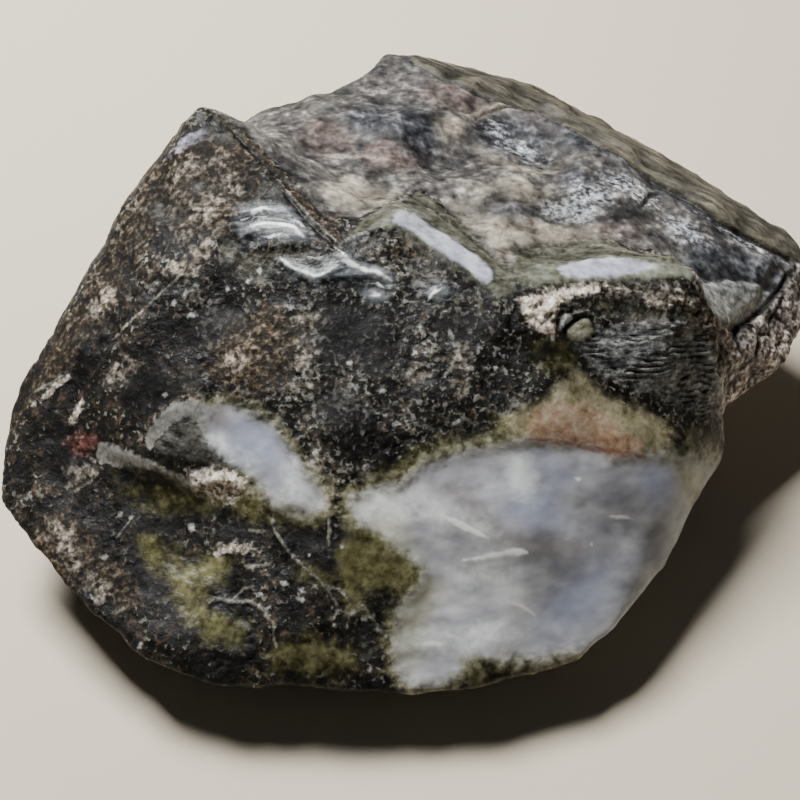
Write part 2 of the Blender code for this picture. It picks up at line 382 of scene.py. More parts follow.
STEP_FACETS = (
    *outlines(
        Area.FACET,
        (
            (-9.8, -2.1), (-7.3, 2.2), (-3.2, 6.8), (-0.4, 11.4), (2.3, 8.9), (5.4, 5.4), (8.2, 1.1),
            (10.5, -3.3), (10.8, -6.3), (9.9, -8.4), (6.7, -6.6), (2.0, -3.1), (-3.2, 0.2), (-6.3, -0.5),
        ),
        (
            (10.6, -3.8), (11.9, 2.0), (17.1, 5.0), (22.2, 6.2), (28.4, 4.6), (34.2, 4.3), (32.4, -3.0),
            (26.0, -4.0), (21.1, -4.8), (16.2, -5.7), (11.4, -6.9),
        ),
    ),
    *outlines(
        Area.PALE_FACET,
        ((12.6, -3.0), (16.0, -2.1), (22.0, 0.4), (31.8, -1.6), (31.6, -3.0), (21.1, -4.8), (12.7, -5.4)),
        ((-4.8, 1.8), (-2.6, 4.6), (-0.6, 5.4), (-3.6, -0.2), (-6.0, 0.2)),
    ),
    # Painted shade along the creases above and below the step's strips.
    *traces(
        Area.RECESS_SHADE,
        (0.55, (-3.2, 7.6), (1.0, 7.6), (4.4, 5.3), (7.7, 1.0), (10.2, -3.8)),
        (0.5, (-6.0, -0.9), (-2.5, -0.6), (2.0, -3.4), (6.5, -6.9), (9.3, -8.4)),
        (0.6, (11.1, 0.7), (13.2, 2.8), (16.5, 4.6), (20.8, 4.1)),
        (0.4, (11.8, 0.0), (14.4, 1.6), (17.7, 2.4)),
    ),
    *traces(Area.BROWN, (0.7, (18.4, 4.0), (21.8, 4.2), (24.4, 3.4), (27.6, 0.2))),
)
SHELF_SKIN = Outline(
    Area.SHELF,
    (
        (-23.4, 15.9), (-19.6, 11.6), (-14.9, 7.5), (-10.5, 2.9), (-7.5, 3.1), (-2.7, 9.9), (-0.2, 11.7),
        (2.3, 10.4), (8.2, 1.1), (10.4, -2.8), (12.5, 1.9), (22.2, 6.2), (32.4, 5.1), (35.4, 2.6),
        (34.4, -4.3), (37.6, -2.4), (41.1, 1.3), (45.6, 5.8), (50.0, 14.0), (46.0, 24.0), (16.0, 48.0),
        (-6.0, 50.0), (-36.0, 34.0), (-38.0, 24.0),
    ),
    lowest=0.0,
)
OUTER_EDGE = (
    (-1.0, 42.0), (2.8, 38.5), (6.8, 35.5), (10.9, 34.2), (16.4, 33.7), (20.1, 29.2), (23.8, 25.4),
    (29.2, 23.3), (34.2, 19.4), (39.2, 15.4), (44.5, 13.5), (48.5, 12.3),
)
BEHIND_THE_EDGE = ((54.0, 14.0), (50.0, 24.0), (20.0, 48.0), (-2.0, 50.0))
OUTER_BAND = Outline(Area.BAND, (*OUTER_EDGE, *BEHIND_THE_EDGE), lowest=-0.1)
SHELF_PATCHES = (
    *outlines(
        Area.CREAM,
        ((-12.2, 7.7), (-9.6, 13.2), (-5.2, 12.0), (-2.9, 9.9), (-4.9, 5.7), (-8.2, 4.2), (-10.7, 4.6)),
        (
            (3.4, 9.5), (5.2, 11.4), (10.0, 10.4), (15.8, 9.2), (23.0, 8.4), (22.2, 6.2), (12.0, 2.4),
            (10.5, -1.7), (8.3, 1.9), (5.3, 6.3),
        ),
    ),
    *spots(Area.CREAM, (11.9, 13.8, 4.6, 2.2), (3.9, 26.4, 1.8, 1.8)),
    *spots(
        Area.PINK,
        (-4.0, 18.6, 4.2, 3.6), (-12.0, 22.0, 3.6, 4.0), (4.6, 33.5, 4.4, 3.0, -30.0),
        (11.2, 36.2, 2.6, 1.8, -30.0), (22.3, 8.2, 4.4, 1.6), (16.2, 30.6, 1.8, 1.6),
    ),
    *spots(
        Area.SLATE,
        (-0.8, 24.6, 2.8, 4.6), (-6.0, 26.0, 4.0, 3.4), (12.4, 27.0, 4.6, 4.6, 10.0),
        (21.0, 26.6, 2.6, 2.2, -40.0), (20.0, 17.6, 1.6, 3.6, 10.0), (10.4, 9.6, 4.0, 1.3),
    ),
    *traces(
        Area.CREAM,
        (0.9, (6.8, 23.2), (9.6, 20.4), (13.6, 19.2), (17.6, 20.4), (20.2, 22.6)),
        (0.6, (7.2, 28.6), (8.8, 32.2), (12.0, 34.0)),
    ),
    *traces(
        Area.SLATE,
        (
            1.1, (14.0, 33.0), (21.3, 27.0), (25.1, 24.2), (29.2, 22.6), (33.0, 19.6), (38.0, 15.4),
            (44.5, 12.6),
        ),
    ),
    *outlines(
        Area.SLATE,
        (
            (34.5, 9.4), (38.7, 11.0), (47.2, 11.6), (47.7, 10.1), (45.4, 7.4), (38.8, 4.0), (34.8, 2.4),
            (33.0, 4.2),
        ),
    ),
    # Painted glints: white specks where the shelf catches the light.
    *spots(
        Area.PAINTED_GLINTS,
        (13.4, 25.0, 2.4, 1.2, -35.0), (10.0, 28.4, 1.2, 0.8, -35.0), (21.9, 15.0, 2.6, 2.0, -30.0),
        (27.0, 17.8, 3.4, 2.2, -30.0), (19.1, 11.6, 3.4, 1.8, 15.0), (34.0, 11.6, 2.6, 2.0, -30.0),
        (43.4, 13.9, 3.4, 0.9, -15.0),
    ),
    *outlines(
        Area.STREAKED,
        (
            (34.9, 1.7), (38.4, 4.3), (42.9, 6.6), (45.1, 6.9), (44.3, 4.7), (41.1, 1.3), (37.6, -2.4),
            (35.7, -2.6), (34.1, -4.3),
        ),
    ),
)
OLIVE_PATCHES = (
    *outlines(
        Area.OLIVE,
        (
            (-33.5, -28.9), (-32.1, -28.8), (-30.4, -29.7), (-28.4, -30.4), (-26.2, -32.2), (-26.1, -34.3),
            (-25.8, -36.0), (-24.3, -37.8), (-22.4, -38.7), (-20.8, -39.9), (-21.2, -41.0), (-23.3, -40.8),
            (-25.3, -40.4), (-26.4, -39.0), (-27.1, -37.7), (-28.1, -36.5), (-29.1, -35.3), (-29.9, -34.0),
            (-31.2, -32.4), (-32.7, -30.9),
        ),
        (
            (-9.4, -29.0), (-6.5, -28.9), (-3.2, -30.9), (-1.0, -32.6), (-0.4, -34.7), (-2.0, -36.6),
            (-5.8, -35.7), (-8.3, -36.1), (-10.2, -35.0), (-9.1, -32.9), (-8.4, -31.6),
        ),
        (
            (-21.4, -26.9), (-18.0, -27.4), (-15.0, -28.8), (-12.0, -28.6), (-11.4, -29.9), (-15.5, -30.0),
            (-20.2, -28.6),
        ),
    ),
    *spots(Area.OLIVE, (-25.0, -32.8, 2.2, 1.2)),
    *traces(Area.OLIVE, (0.6, (-8.6, -27.6), (-0.4, -24.4), (5.4, -23.0), (11.2, -22.2))),
    *spots(
        Area.PALE_OLIVE,
        (-28.3, -33.0, 1.4, 1.4), (-24.7, -32.6, 1.7, 0.9), (-26.6, -36.0, 1.1, 1.4, 30.0),
        (-22.9, -39.7, 1.9, 1.0), (-12.3, -35.1, 1.7, 0.6, -20.0), (-8.2, -37.2, 1.6, 0.9, -30.0),
        (-11.9, -42.2, 2.6, 0.9), (-15.7, -42.0, 1.2, 0.7), (-3.7, -40.4, 1.0, 1.6), (-21.4, -25.7, 1.3, 1.0),
        (-24.9, -26.2, 1.0, 0.6), (10.2, -21.4, 1.7, 1.0),
    ),
    *outlines(
        Area.PALE_OLIVE,
        (
            (-9.0, -32.4), (-5.9, -31.5), (-3.3, -32.0), (-1.2, -33.6), (-1.2, -36.0), (-4.4, -36.2),
            (-8.2, -36.2), (-10.1, -35.1), (-9.9, -33.3),
        ),
    ),
    *outlines(
        Area.DARK_OLIVE,
        ((-16.0, -41.3), (-13.1, -41.0), (-8.0, -41.7), (-8.2, -44.0), (-13.5, -44.5), (-17.8, -43.4)),
        (
            (-36.9, -21.6), (-32.4, -22.6), (-29.0, -23.9), (-25.7, -25.3), (-24.9, -26.3), (-26.3, -26.9),
            (-29.0, -26.6), (-31.4, -26.0), (-33.9, -25.0), (-36.4, -24.1),
        ),
        (
            (13.0, -11.9), (15.2, -11.1), (17.3, -11.3), (18.3, -12.6), (17.7, -14.3), (15.6, -15.2),
            (13.5, -14.6), (12.5, -13.2),
        ),
        ((30.5, -17.0), (36.5, -13.0), (37.5, -15.9), (33.5, -20.2), (30.2, -19.7)),
        (
            (4.2, -41.8), (8.9, -41.6), (14.2, -41.0), (18.0, -40.2), (21.0, -42.0), (14.0, -45.0),
            (4.2, -45.0),
        ),
    ),
)
RUST_PATCHES = (
    *outlines(
        Area.RUST,
        (
            (12.2, -20.2), (14.2, -18.8), (16.7, -18.0), (19.7, -17.6), (21.4, -18.2), (23.1, -19.1),
            (25.3, -19.5), (26.3, -20.2), (24.7, -21.9), (21.3, -22.4), (20.3, -21.6), (18.4, -21.6),
            (15.5, -22.0), (12.4, -22.3),
        ),
    ),
    *outlines(
        Area.TAN,
        (
            (9.5, -21.4), (11.2, -19.7), (13.6, -18.4), (16.0, -16.7), (17.9, -14.6), (19.1, -14.9),
            (21.4, -15.9), (24.0, -16.2), (27.2, -16.0), (29.5, -16.8), (30.0, -18.4), (28.3, -20.3),
            (26.3, -20.7), (17.0, -19.4), (11.7, -22.0), (9.8, -22.3),
        ),
    ),
)
JADE_TONES = (
    *outlines(
        Area.MILK,
        (
            (-8.6, -28.2), (-3.6, -28.0), (-1.4, -32.0), (2.0, -36.0), (0.2, -41.0), (-1.6, -44.0),
            (-4.4, -40.0), (-3.0, -33.0),
        ),
    ),
    *traces(
        Area.MILK,
        (1.2, (26.0, -20.6), (33.0, -20.6), (37.5, -18.0), (38.0, -22.0), (33.6, -29.6)),
        even=True,
    ),
    *traces(Area.MILK, (0.9, (-22.4, -26.4), (-19.4, -27.4), (-16.4, -28.8), (-13.4, -29.2))),
    *spots(Area.MILK, (-19.2, -24.6, 1.6, 0.9, -20.0)),
    *spots(
        Area.CLOUD,
        (11.5, -25.8, 1.7, 2.0, 20.0), (10.8, -25.4, 0.8, 1.0), (-3.9, -28.6, 3.4, 1.0, -5.0),
        (0.8, -29.2, 2.4, 0.8, -15.0), (5.4, -30.2, 2.2, 0.6, -20.0), (6.6, -34.6, 2.6, 0.7, 4.0),
        (7.0, -39.8, 3.0, 0.8, 10.0), (0.8, -40.4, 2.0, 0.8), (-14.8, -26.9, 1.6, 0.8, -35.0),
        (-23.7, -21.5, 0.9, 0.5, -35.0), (-19.9, -23.5, 0.5, 0.35), (-15.5, -24.5, 0.6, 0.5),
    ),
    *spots(
        Area.SKY,
        (13.0, -28.6, 3.4, 2.2, 10.0), (18.2, -35.5, 5.0, 2.2, 35.0), (28.5, -23.0, 2.6, 2.2),
        (15.0, -24.6, 2.0, 1.0), (-19.6, -22.4, 4.4, 2.2, -37.0),
    ),
    # Painted shade in the jade: darker grey towards the main window's right edge, and in a few patches
    # elsewhere.
    *spots(
        Area.JADE_SHADE,
        (-24.6, -19.6, 1.8, 1.2, -20.0), (-16.0, -27.2, 2.6, 1.0, -37.0), (21.2, -29.8, 3.8, 2.4, 10.0),
        (23.2, -25.4, 3.0, 1.8, 20.0), (27.4, -28.6, 4.6, 1.8, 45.0), (16.2, -32.9, 2.8, 1.0),
        (4.4, -25.6, 3.6, 1.0, 10.0),
    ),
    *spots(Area.SMOKE, (-24.4, -19.1, 1.8, 1.0, -20.0), (0.9, -39.1, 0.8, 0.5)),
    *traces(
        Area.SMOKE,
        (1.1, (0.4, -25.8), (4.6, -28.0), (8.2, -31.4), (11.8, -32.1), (15.5, -31.4), (20.0, -31.0)),
    ),
)
BROWN_PATCHES = (
    *outlines(
        Area.BROWN,
        (
            (-33.3, 13.6), (-31.2, 11.2), (-32.4, 2.4), (-36.5, -4.2), (-43.3, -10.0), (-50.0, -12.8),
            (-44.6, -4.0), (-37.2, 5.5),
        ),
        lowest=-0.7,
    ),
    *outlines(
        Area.BROWN,
        (
            (-24.3, 17.4), (-22.4, 15.1), (-19.6, 11.6), (-14.9, 7.5), (-10.5, 2.9), (-9.8, -2.1),
            (-12.0, 0.2), (-15.2, 3.7), (-19.4, 8.8), (-22.2, 12.3),
        ),
        ((32.0, -5.5), (34.4, -3.9), (35.7, -2.6), (38.3, -3.3), (38.3, -4.6), (33.6, -8.6), (31.9, -7.3)),
    ),
    *spots(
        Area.BROWN,
        (-19.8, -13.2, 5.2, 4.6), (-42.5, -28.5, 5.0, 3.0, -50.0), (-36.5, -33.0, 4.0, 2.0, -45.0),
        (-1.0, -1.6, 2.4, 1.2, -35.0), (-26.0, 6.6, 6.4, 6.4), (-22.4, 10.6, 3.0, 0.8, -48.0),
    ),
    *spots(Area.LILAC, (-28.9, 13.0, 2.0, 0.9, 10.0)),
    # Painted shade in small hollows on the peak.
    *spots(
        Area.RECESS_SHADE,
        (-24.6, 15.0, 1.7, 1.4), (-26.9, 6.9, 1.9, 0.8, -15.0), (-31.3, 5.3, 1.4, 1.6),
        (-23.6, -0.6, 0.8, 2.2, 10.0), (-29.6, 3.6, 1.3, 0.9, -20.0),
    ),
    *spots(Area.DARK_OLIVE, (-24.2, 14.0, 2.4, 1.3, -35.0)),
    *spots(
        Area.CALM,
        (-30.8, 0.6, 1.4, 2.0), (-28.6, -0.2, 1.6, 1.2), (-23.0, -3.4, 1.6, 1.6), (-6.4, -41.0, 2.0, 1.6),
        (-3.2, -37.2, 2.6, 0.9, -5.0), (-21.2, -29.8, 3.6, 1.2, -20.0), (-32.6, -15.0, 3.4, 1.6, -10.0),
        (-43.6, -18.6, 2.0, 2.4), (-35.6, 0.6, 1.4, 3.0, -30.0), (-41.2, -6.8, 1.5, 2.4, -45.0),
        (-40.0, -33.5, 1.4, 2.4, 40.0), (-24.2, -9.6, 3.4, 2.0, 10.0),
    ),
    *spots(
        Area.BUFF,
        (-28.9, 9.2, 1.9, 1.2), (-24.8, 9.4, 1.4, 0.7, -38.0), (-27.4, 3.0, 1.3, 1.4),
        (-22.6, 6.2, 1.6, 1.0, -30.0), (-24.6, 4.4, 1.0, 0.9), (-26.3, 2.4, 1.1, 1.1), (-28.5, 1.5, 1.1, 1.2),
        (-26.2, -1.8, 1.3, 1.2), (-28.7, -3.2, 1.7, 0.9), (-39.2, -3.7, 1.7, 1.3), (-22.1, -13.9, 0.9, 0.7),
        (-13.8, -10.5, 1.0, 0.6), (-13.7, -13.6, 0.8, 1.3, -20.0), (-36.4, -12.3, 1.2, 0.9),
        (-0.8, -16.6, 1.1, 0.6), (4.4, -14.6, 1.1, 1.1), (-12.3, -24.4, 1.2, 1.1),
        (-42.5, -28.0, 2.6, 1.0, -50.0), (-38.0, -33.6, 2.0, 0.8, -45.0),
    ),
    *outlines(
        Area.CALM,
        ((-33.4, 6.7), (-29.9, 6.7), (-28.5, 4.1), (-31.6, 2.8), (-33.8, 4.0)),
        (
            (-12.2, -8.7), (-7.2, -9.6), (-3.0, -9.2), (-3.3, -13.4), (-4.2, -17.1), (-8.6, -15.8),
            (-12.0, -15.1), (-12.4, -11.5),
        ),
        ((-11.2, -17.9), (-7.2, -17.8), (-6.0, -19.8), (-7.1, -21.9), (-11.2, -22.1), (-11.9, -19.7)),
        (
            (-16.3, -29.9), (-13.5, -30.1), (-10.6, -30.7), (-9.6, -32.7), (-10.5, -34.6), (-12.8, -34.3),
            (-14.3, -33.4), (-16.1, -31.4),
        ),
        (
            (-34.9, -29.2), (-33.4, -30.8), (-31.9, -32.6), (-30.2, -34.7), (-28.8, -36.3), (-27.4, -38.1),
            (-26.4, -39.5), (-27.6, -40.3), (-29.4, -38.6), (-31.0, -36.2), (-33.3, -34.1), (-34.6, -31.8),
        ),
        (
            (-34.2, -26.1), (-30.0, -26.9), (-28.7, -28.0), (-29.9, -29.0), (-32.3, -28.4), (-34.5, -28.7),
            (-35.2, -27.4),
        ),
        ((1.4, -9.5), (7.7, -10.0), (8.8, -11.7), (4.0, -12.6), (1.2, -11.2)),
    ),
    *outlines(
        Area.SPARSE,
        (
            (-50.0, -4.0), (-34.0, -2.0), (-24.0, -14.0), (-22.0, -26.0), (-8.0, -32.0), (-4.0, -46.0),
            (-36.0, -44.0), (-54.0, -24.0),
        ),
    ),
)
CRUMB_PATCHES = (
    *outlines(
        Area.PLATE_AND_EDGE_HIGHLIGHT,
        (
            (-32.8, -20.1), (-32.4, -19.2), (-31.5, -18.4), (-30.3, -17.8), (-28.8, -17.2), (-27.2, -17.1),
            (-25.7, -17.6), (-24.9, -18.7), (-25.3, -19.3), (-26.7, -18.8), (-28.1, -18.6), (-29.6, -19.0),
            (-31.1, -19.7), (-32.1, -20.6),
        ),
    ),
    *outlines(
        Area.LUMP,
        (
            (-32.1, -20.0), (-29.8, -19.5), (-27.4, -18.9), (-25.5, -19.5), (-24.5, -21.2), (-23.0, -22.5),
            (-21.4, -24.0), (-23.2, -24.1), (-25.6, -23.0), (-28.6, -21.9), (-31.1, -21.1),
        ),
    ),
    *outlines(
        Area.CRUMB,
        (
            (-27.9, -23.4), (-26.2, -23.8), (-24.4, -23.8), (-22.5, -24.3), (-21.0, -24.9), (-20.5, -25.9),
            (-22.0, -26.5), (-23.8, -26.1), (-25.6, -25.5), (-27.2, -24.7),
        ),
        (
            (11.1, -8.1), (12.4, -7.5), (15.2, -7.0), (18.0, -5.7), (21.6, -5.0), (24.4, -5.2), (21.5, -5.9),
            (18.0, -6.8), (16.2, -8.0), (15.4, -9.5), (15.4, -11.4), (13.8, -11.0), (12.3, -10.2),
            (11.6, -9.3),
        ),
    ),
    *traces(
        Area.BUFF,
        (0.9, (22.0, -5.6), (25.9, -5.2), (29.8, -5.4), (32.8, -5.6)),
        (0.9, (33.0, -5.8), (34.6, -7.2), (35.6, -9.2)),
        even=True,
    ),
    *traces(Area.CRUMB, (0.22, (26.6, -6.3), (28.6, -6.6), (30.4, -5.8), (32.0, -5.6)), even=True),
    *spots(Area.CRUMB, (42.9, 2.6, 1.2, 0.9), (37.4, -7.7, 0.8, 1.4), (-21.8, -31.2, 2.0, 0.4, -10.0)),
    *spots(Area.BUFF, (-29.6, -17.6, 1.6, 0.5, 25.0), (-26.4, -17.6, 1.4, 0.5, -10.0)),
    *traces(
        Area.CRUMB,
        (0.3, (-42.6, -15.2), (-41.6, -14.4), (-41.2, -13.6)),
        (0.3, (-46.6, -12.2), (-44.6, -11.2), (-43.0, -10.6)),
    ),
)
FLECKS = spots(
    Area.FLECK,
    (-37.8, -30.2, 0.37, 0.3), (-36.3, -25.8, 0.32, 0.17, 25.0), (-34.6, -26.4, 0.29, 0.22),
    (-30.5, -16.1, 0.26, 0.19), (-39.0, -34.4, 0.4, 0.17, -30.0), (-27.3, -28.0, 0.35, 0.19, -35.0),
    (-13.2, -33.0, 0.17, 0.17), (-19.1, -36.3, 0.35, 0.17), (-23.9, -31.3, 0.58, 0.17, 5.0),
    (-17.9, -37.7, 0.23, 0.17), (-9.5, -32.5, 0.17, 0.17), (-6.2, -43.2, 0.2, 0.19),
    (-6.9, -38.8, 0.29, 0.22), (-16.1, -35.5, 0.4, 0.19, -25.0), (-14.1, -36.2, 0.35, 0.17, -40.0),
    (-14.2, -37.3, 0.35, 0.17, -15.0), (-32.0, -4.1, 0.35, 0.22, 30.0), (-27.1, -5.2, 0.29, 0.19),
    (-29.6, -6.8, 0.29, 0.27), (-27.4, -8.3, 0.26, 0.19, -20.0), (-20.7, -5.3, 0.23, 0.17),
    (-23.2, -5.7, 0.2, 0.24), (-19.4, -4.3, 0.17, 0.32), (3.2, -11.9, 0.2, 0.43, 20.0),
    (-1.0, -14.1, 0.2, 0.17), (-3.4, -15.8, 0.23, 0.17), (8.4, -15.3, 0.17, 0.17),
    (-4.8, -18.1, 0.29, 0.17), (-4.4, -20.5, 0.26, 0.19), (3.9, -21.1, 0.4, 0.17, 15.0),
    (-12.5, -23.8, 0.29, 0.17), (-12.9, -24.7, 0.35, 0.22, 20.0), (-6.6, -25.3, 0.35, 0.19),
    (-13.1, -17.5, 0.29, 0.19), (-8.6, -15.2, 0.23, 0.17), (-47.3, -12.4, 0.29, 0.24),
    (-33.0, -40.3, 0.26, 0.22), (24.9, 7.6, 0.29, 0.22),
)
# The glossy folds near the ridge: real folds in the mesh, with painted sheen, painted glare and painted
# highlights on them.
SHEEN_FOLD_MARKS = (
    *outlines(
        Area.SHEEN_FOLDS,
        (
            (-22.1, 3.6), (-19.3, 4.1), (-15.9, 3.3), (-13.6, 0.5), (-13.1, -1.5), (-15.1, -1.7),
            (-18.1, -1.4), (-21.1, -1.1), (-22.8, 0.6),
        ),
        (
            (-17.4, -2.9), (-14.5, -4.1), (-12.3, -5.4), (-10.5, -3.7), (-8.8, -2.9), (-6.7, -4.3),
            (-4.6, -4.7), (-2.7, -6.3), (-4.6, -6.9), (-8.6, -6.6), (-12.3, -7.0), (-15.0, -5.7),
            (-16.9, -4.3),
        ),
        ((-7.4, -7.1), (-5.5, -6.6), (-3.6, -7.2), (-4.2, -8.6), (-6.9, -8.6)),
        ((-0.3, -8.1), (1.1, -6.2), (2.7, -6.5), (4.3, -7.9), (2.0, -8.6)),
    ),
    *traces(
        Area.GLARE,
        (0.6, (-21.6, 2.2), (-19.2, 2.9), (-16.6, 2.3), (-14.6, 0.8)),
        (0.6, (-20.8, 0.4), (-18.9, 0.6), (-17.0, 0.3), (-15.3, -0.3), (-14.1, -1.2)),
        (0.45, (-17.1, -3.1), (-15.5, -4.4), (-12.6, -6.0), (-10.8, -5.4), (-9.4, -4.6)),
        (0.6, (-10.0, -3.6), (-8.6, -4.5), (-7.2, -5.1), (-5.3, -5.3), (-3.6, -6.1)),
    ),
    *spots(Area.GLARE, (-5.7, -7.6, 1.4, 0.6), (1.6, -7.5, 1.3, 0.5)),
    # Painted highlights: thin white streaks and spots where the glossy folds catch the light.
    *traces(
        Area.PAINTED_HIGHLIGHT,
        (0.22, (-20.6, 0.5), (-18.9, 0.9), (-17.0, 0.6), (-15.3, 0.0), (-14.1, -1.2)),
        (0.15, (-19.4, -0.8), (-18.1, -1.0), (-16.7, -0.7), (-15.2, -1.3)),
        (0.13, (-20.6, 2.4), (-19.2, 2.9), (-17.2, 2.5)),
        (0.15, (-17.1, -3.1), (-16.4, -3.7), (-15.5, -4.5), (-14.0, -5.3), (-12.6, -6.1)),
        (0.12, (-12.4, -6.1), (-11.2, -5.7), (-10.0, -4.9)),
        (0.18, (-10.0, -4.5), (-8.6, -4.5), (-7.2, -5.1), (-5.3, -5.3), (-3.6, -6.1)),
        (0.1, (-10.6, -2.3), (-9.5, -3.4), (-8.6, -4.5)),
        (0.12, (0.3, -8.4), (1.2, -7.5), (2.2, -7.1)),
        (0.08, (-21.8, 1.4), (-20.2, 1.7), (-18.4, 1.7)),
        (0.08, (-16.2, 1.3), (-15.0, 0.8), (-14.0, -0.1)),
        (0.08, (-13.8, -3.5), (-12.4, -4.0), (-11.2, -3.3)),
        (0.08, (-7.2, -6.2), (-5.4, -6.4), (-3.9, -6.9)),
    ),
    *spots(Area.PAINTED_HIGHLIGHT, (-8.6, -4.7, 0.5, 0.4), (-5.7, -7.6, 0.7, 0.25)),
)
# Painted shade (the recess areas) under the overhanging ridge and between the glossy folds, and the dark
# striated face on the right.
DARK_PLACES = (
    *outlines(
        Area.RECESS_SHADE,
        (
            (19.6, -7.4), (21.8, -6.4), (25.9, -6.4), (32.0, -5.5), (33.7, -6.3), (28.3, -8.0), (23.5, -8.2),
            (20.6, -8.0),
        ),
        ((-22.6, -2.4), (-14.6, -2.2), (-12.4, -3.2), (-17.4, -3.4), (-19.0, -5.6), (-22.6, -4.4)),
    ),
    *traces(Area.RECESS_SHADE, (0.25, (18.2, -6.2), (19.8, -5.6), (22.0, -5.9), (23.6, -6.9))),
    *outlines(
        Area.STRIATED,
        (
            (20.7, -9.8), (25.9, -8.4), (32.2, -7.3), (36.2, -8.0), (38.0, -10.2), (34.5, -13.6),
            (26.5, -14.5), (20.9, -13.9), (18.5, -12.3),
        ),
    ),
    *spots(Area.RECESS_SHADE, (-23.1, -1.4, 1.0, 1.3)),
)
SKIN_LINES = (
    *traces(
        Area.VEIN,
        (
            0.13, (-17.6, -28.7), (-17.5, -29.8), (-16.5, -31.3), (-15.6, -32.5), (-14.4, -33.5),
            (-13.5, -34.4), (-12.4, -35.1), (-11.3, -36.2), (-10.5, -37.1), (-9.8, -38.1), (-8.5, -38.5),
        ),
        (0.18, (-8.5, -38.5), (-7.6, -38.1), (-6.9, -37.7), (-6.1, -38.6), (-5.4, -39.4), (-4.3, -40.3)),
        (0.11, (-8.5, -38.6), (-8.9, -39.8)),
        (0.11, (-9.8, -38.1), (-10.5, -39.3), (-10.2, -39.8)),
        (0.13, (-17.9, -37.7), (-18.3, -38.4), (-17.0, -39.4), (-17.5, -40.2), (-16.8, -41.8)),
        (0.11, (-11.3, -36.2), (-9.8, -36.3), (-8.6, -37.4)),
        (0.11, (-34.6, -26.4), (-35.6, -27.5), (-36.5, -28.4)),
        (0.11, (-17.1, 6.7), (-15.6, 4.3), (-12.9, 1.1), (-9.9, -2.1)),
        (0.2, (-32.3, -22.0), (-30.8, -22.7), (-29.2, -23.4), (-27.2, -24.6)),
        even=True,
    ),
    *traces(
        Area.VEIN,
        (0.2, (-25.5, -36.6), (-24.0, -36.0), (-22.3, -36.5), (-20.2, -36.8), (-18.3, -37.9)),
        (0.13, (-22.4, -36.4), (-21.0, -35.3), (-19.6, -35.4)),
        (0.18, (-20.7, -29.5), (-19.4, -29.9), (-18.1, -30.1)),
        (0.17, (-21.2, -32.9), (-19.9, -33.3), (-17.6, -33.4)),
        (0.15, (-30.2, -4.7), (-32.5, -6.2), (-34.4, -7.4), (-37.6, -8.7)),
        (0.18, (-48.7, -11.1), (-46.4, -10.9), (-44.1, -10.5), (-42.9, -10.0)),
        (0.2, (-11.3, -28.6), (-10.8, -30.6), (-11.1, -32.0), (-10.7, -32.5)),
    ),
    *traces(
        Area.CRACK,
        (0.35, (-16.6, 5.2), (-14.4, 2.0), (-12.2, -0.5), (-10.1, -2.6)),
        (0.4, (-23.2, 13.6), (-19.5, 9.8), (-16.5, 7.5), (-13.3, 5.1), (-10.9, 2.1)),
        (0.36, (46.4, 12.6), (48.1, 10.5), (46.6, 7.5), (44.2, 4.5), (41.1, 0.9), (38.1, -2.8)),
        (0.18, (47.1, 6.5), (45.4, 3.6), (44.7, 1.4), (42.8, 0.0), (42.4, -2.6), (40.1, -6.5)),
        (0.4, (35.0, -6.1), (37.3, -4.5), (36.2, -8.9)),
        (0.16, (7.4, 29.8), (8.9, 31.6), (11.9, 33.5), (16.1, 33.1), (19.2, 31.0)),
        (0.3, (28.4, 14.1), (30.0, 18.0), (31.4, 19.2)),
    ),
    *traces(Area.CRACK, (0.28, *OUTER_EDGE), even=True),
    # Painted highlights on the windows: white streaks, and the two spots below, raised a little.
    *traces(
        Area.PAINTED_HIGHLIGHT,
        (0.22, (4.3, -33.5), (6.5, -33.4), (8.4, -33.1), (10.2, -32.8), (12.3, -32.6)),
        (0.3, (8.0, -33.1), (10.2, -32.8), (12.1, -32.6)),
        (0.28, (1.9, -29.5), (3.7, -30.2), (5.6, -31.0), (7.5, -31.7)),
        (0.13, (21.8, -27.3), (23.6, -26.9), (25.3, -26.8)),
        (0.17, (9.5, -36.8), (11.2, -37.0), (12.4, -37.3), (13.3, -37.7)),
        (0.25, (-0.4, -40.9), (1.0, -40.8), (2.4, -41.0)),
    ),
    *spots(Area.PAINTED_HIGHLIGHT, (18.2, -24.8, 0.5, 0.22), (19.8, -30.4, 0.24, 0.34)),
    *traces(
        Area.RUST,
        (0.5, (12.6, -22.4), (16.0, -21.9), (18.7, -21.9), (21.3, -21.0), (24.0, -21.6), (27.5, -20.8)),
    ),
    # Painted highlight: the lit upper edge of the scar's step, pale grey.
    *outlines(
        Area.PLATE_AND_EDGE_HIGHLIGHT,
        (
            (-39.3, -18.9), (-38.9, -18.2), (-38.0, -18.5), (-35.9, -19.8), (-33.5, -21.1), (-31.6, -22.2),
            (-33.3, -21.9), (-35.5, -20.8), (-37.3, -20.2), (-38.4, -19.9), (-39.1, -19.4),
        ),
    ),
    *spots(Area.RED, (-40.9, -17.6, 1.5, 0.7, -10.0)),
    *spots(Area.BUFF, (-41.4, -20.6, 1.4, 1.0)),
    *traces(
        Area.SEAM,
        (0.26, (12.8, -22.2), (15.5, -21.9), (18.4, -21.6), (21.3, -21.5), (24.0, -21.3), (26.8, -20.9)),
        (0.1, (16.4, -20.7), (19.6, -20.9), (22.6, -20.4)),
    ),
    *spots(Area.SEAM, (20.6, -16.9, 0.35, 0.25), (17.4, -18.3, 0.3, 0.2)),
)
EYE_MARKS = (
    Spot(Area.BEAD, Eye.middle, Eye.half_sizes),
    # The white crescent beside the bead is a painted highlight.
    Trace(Area.PAINTED_HIGHLIGHT, ((16.3, -10.3), (16.4, -9.5), (16.9, -8.9), (17.7, -8.5)), 0.28),
)
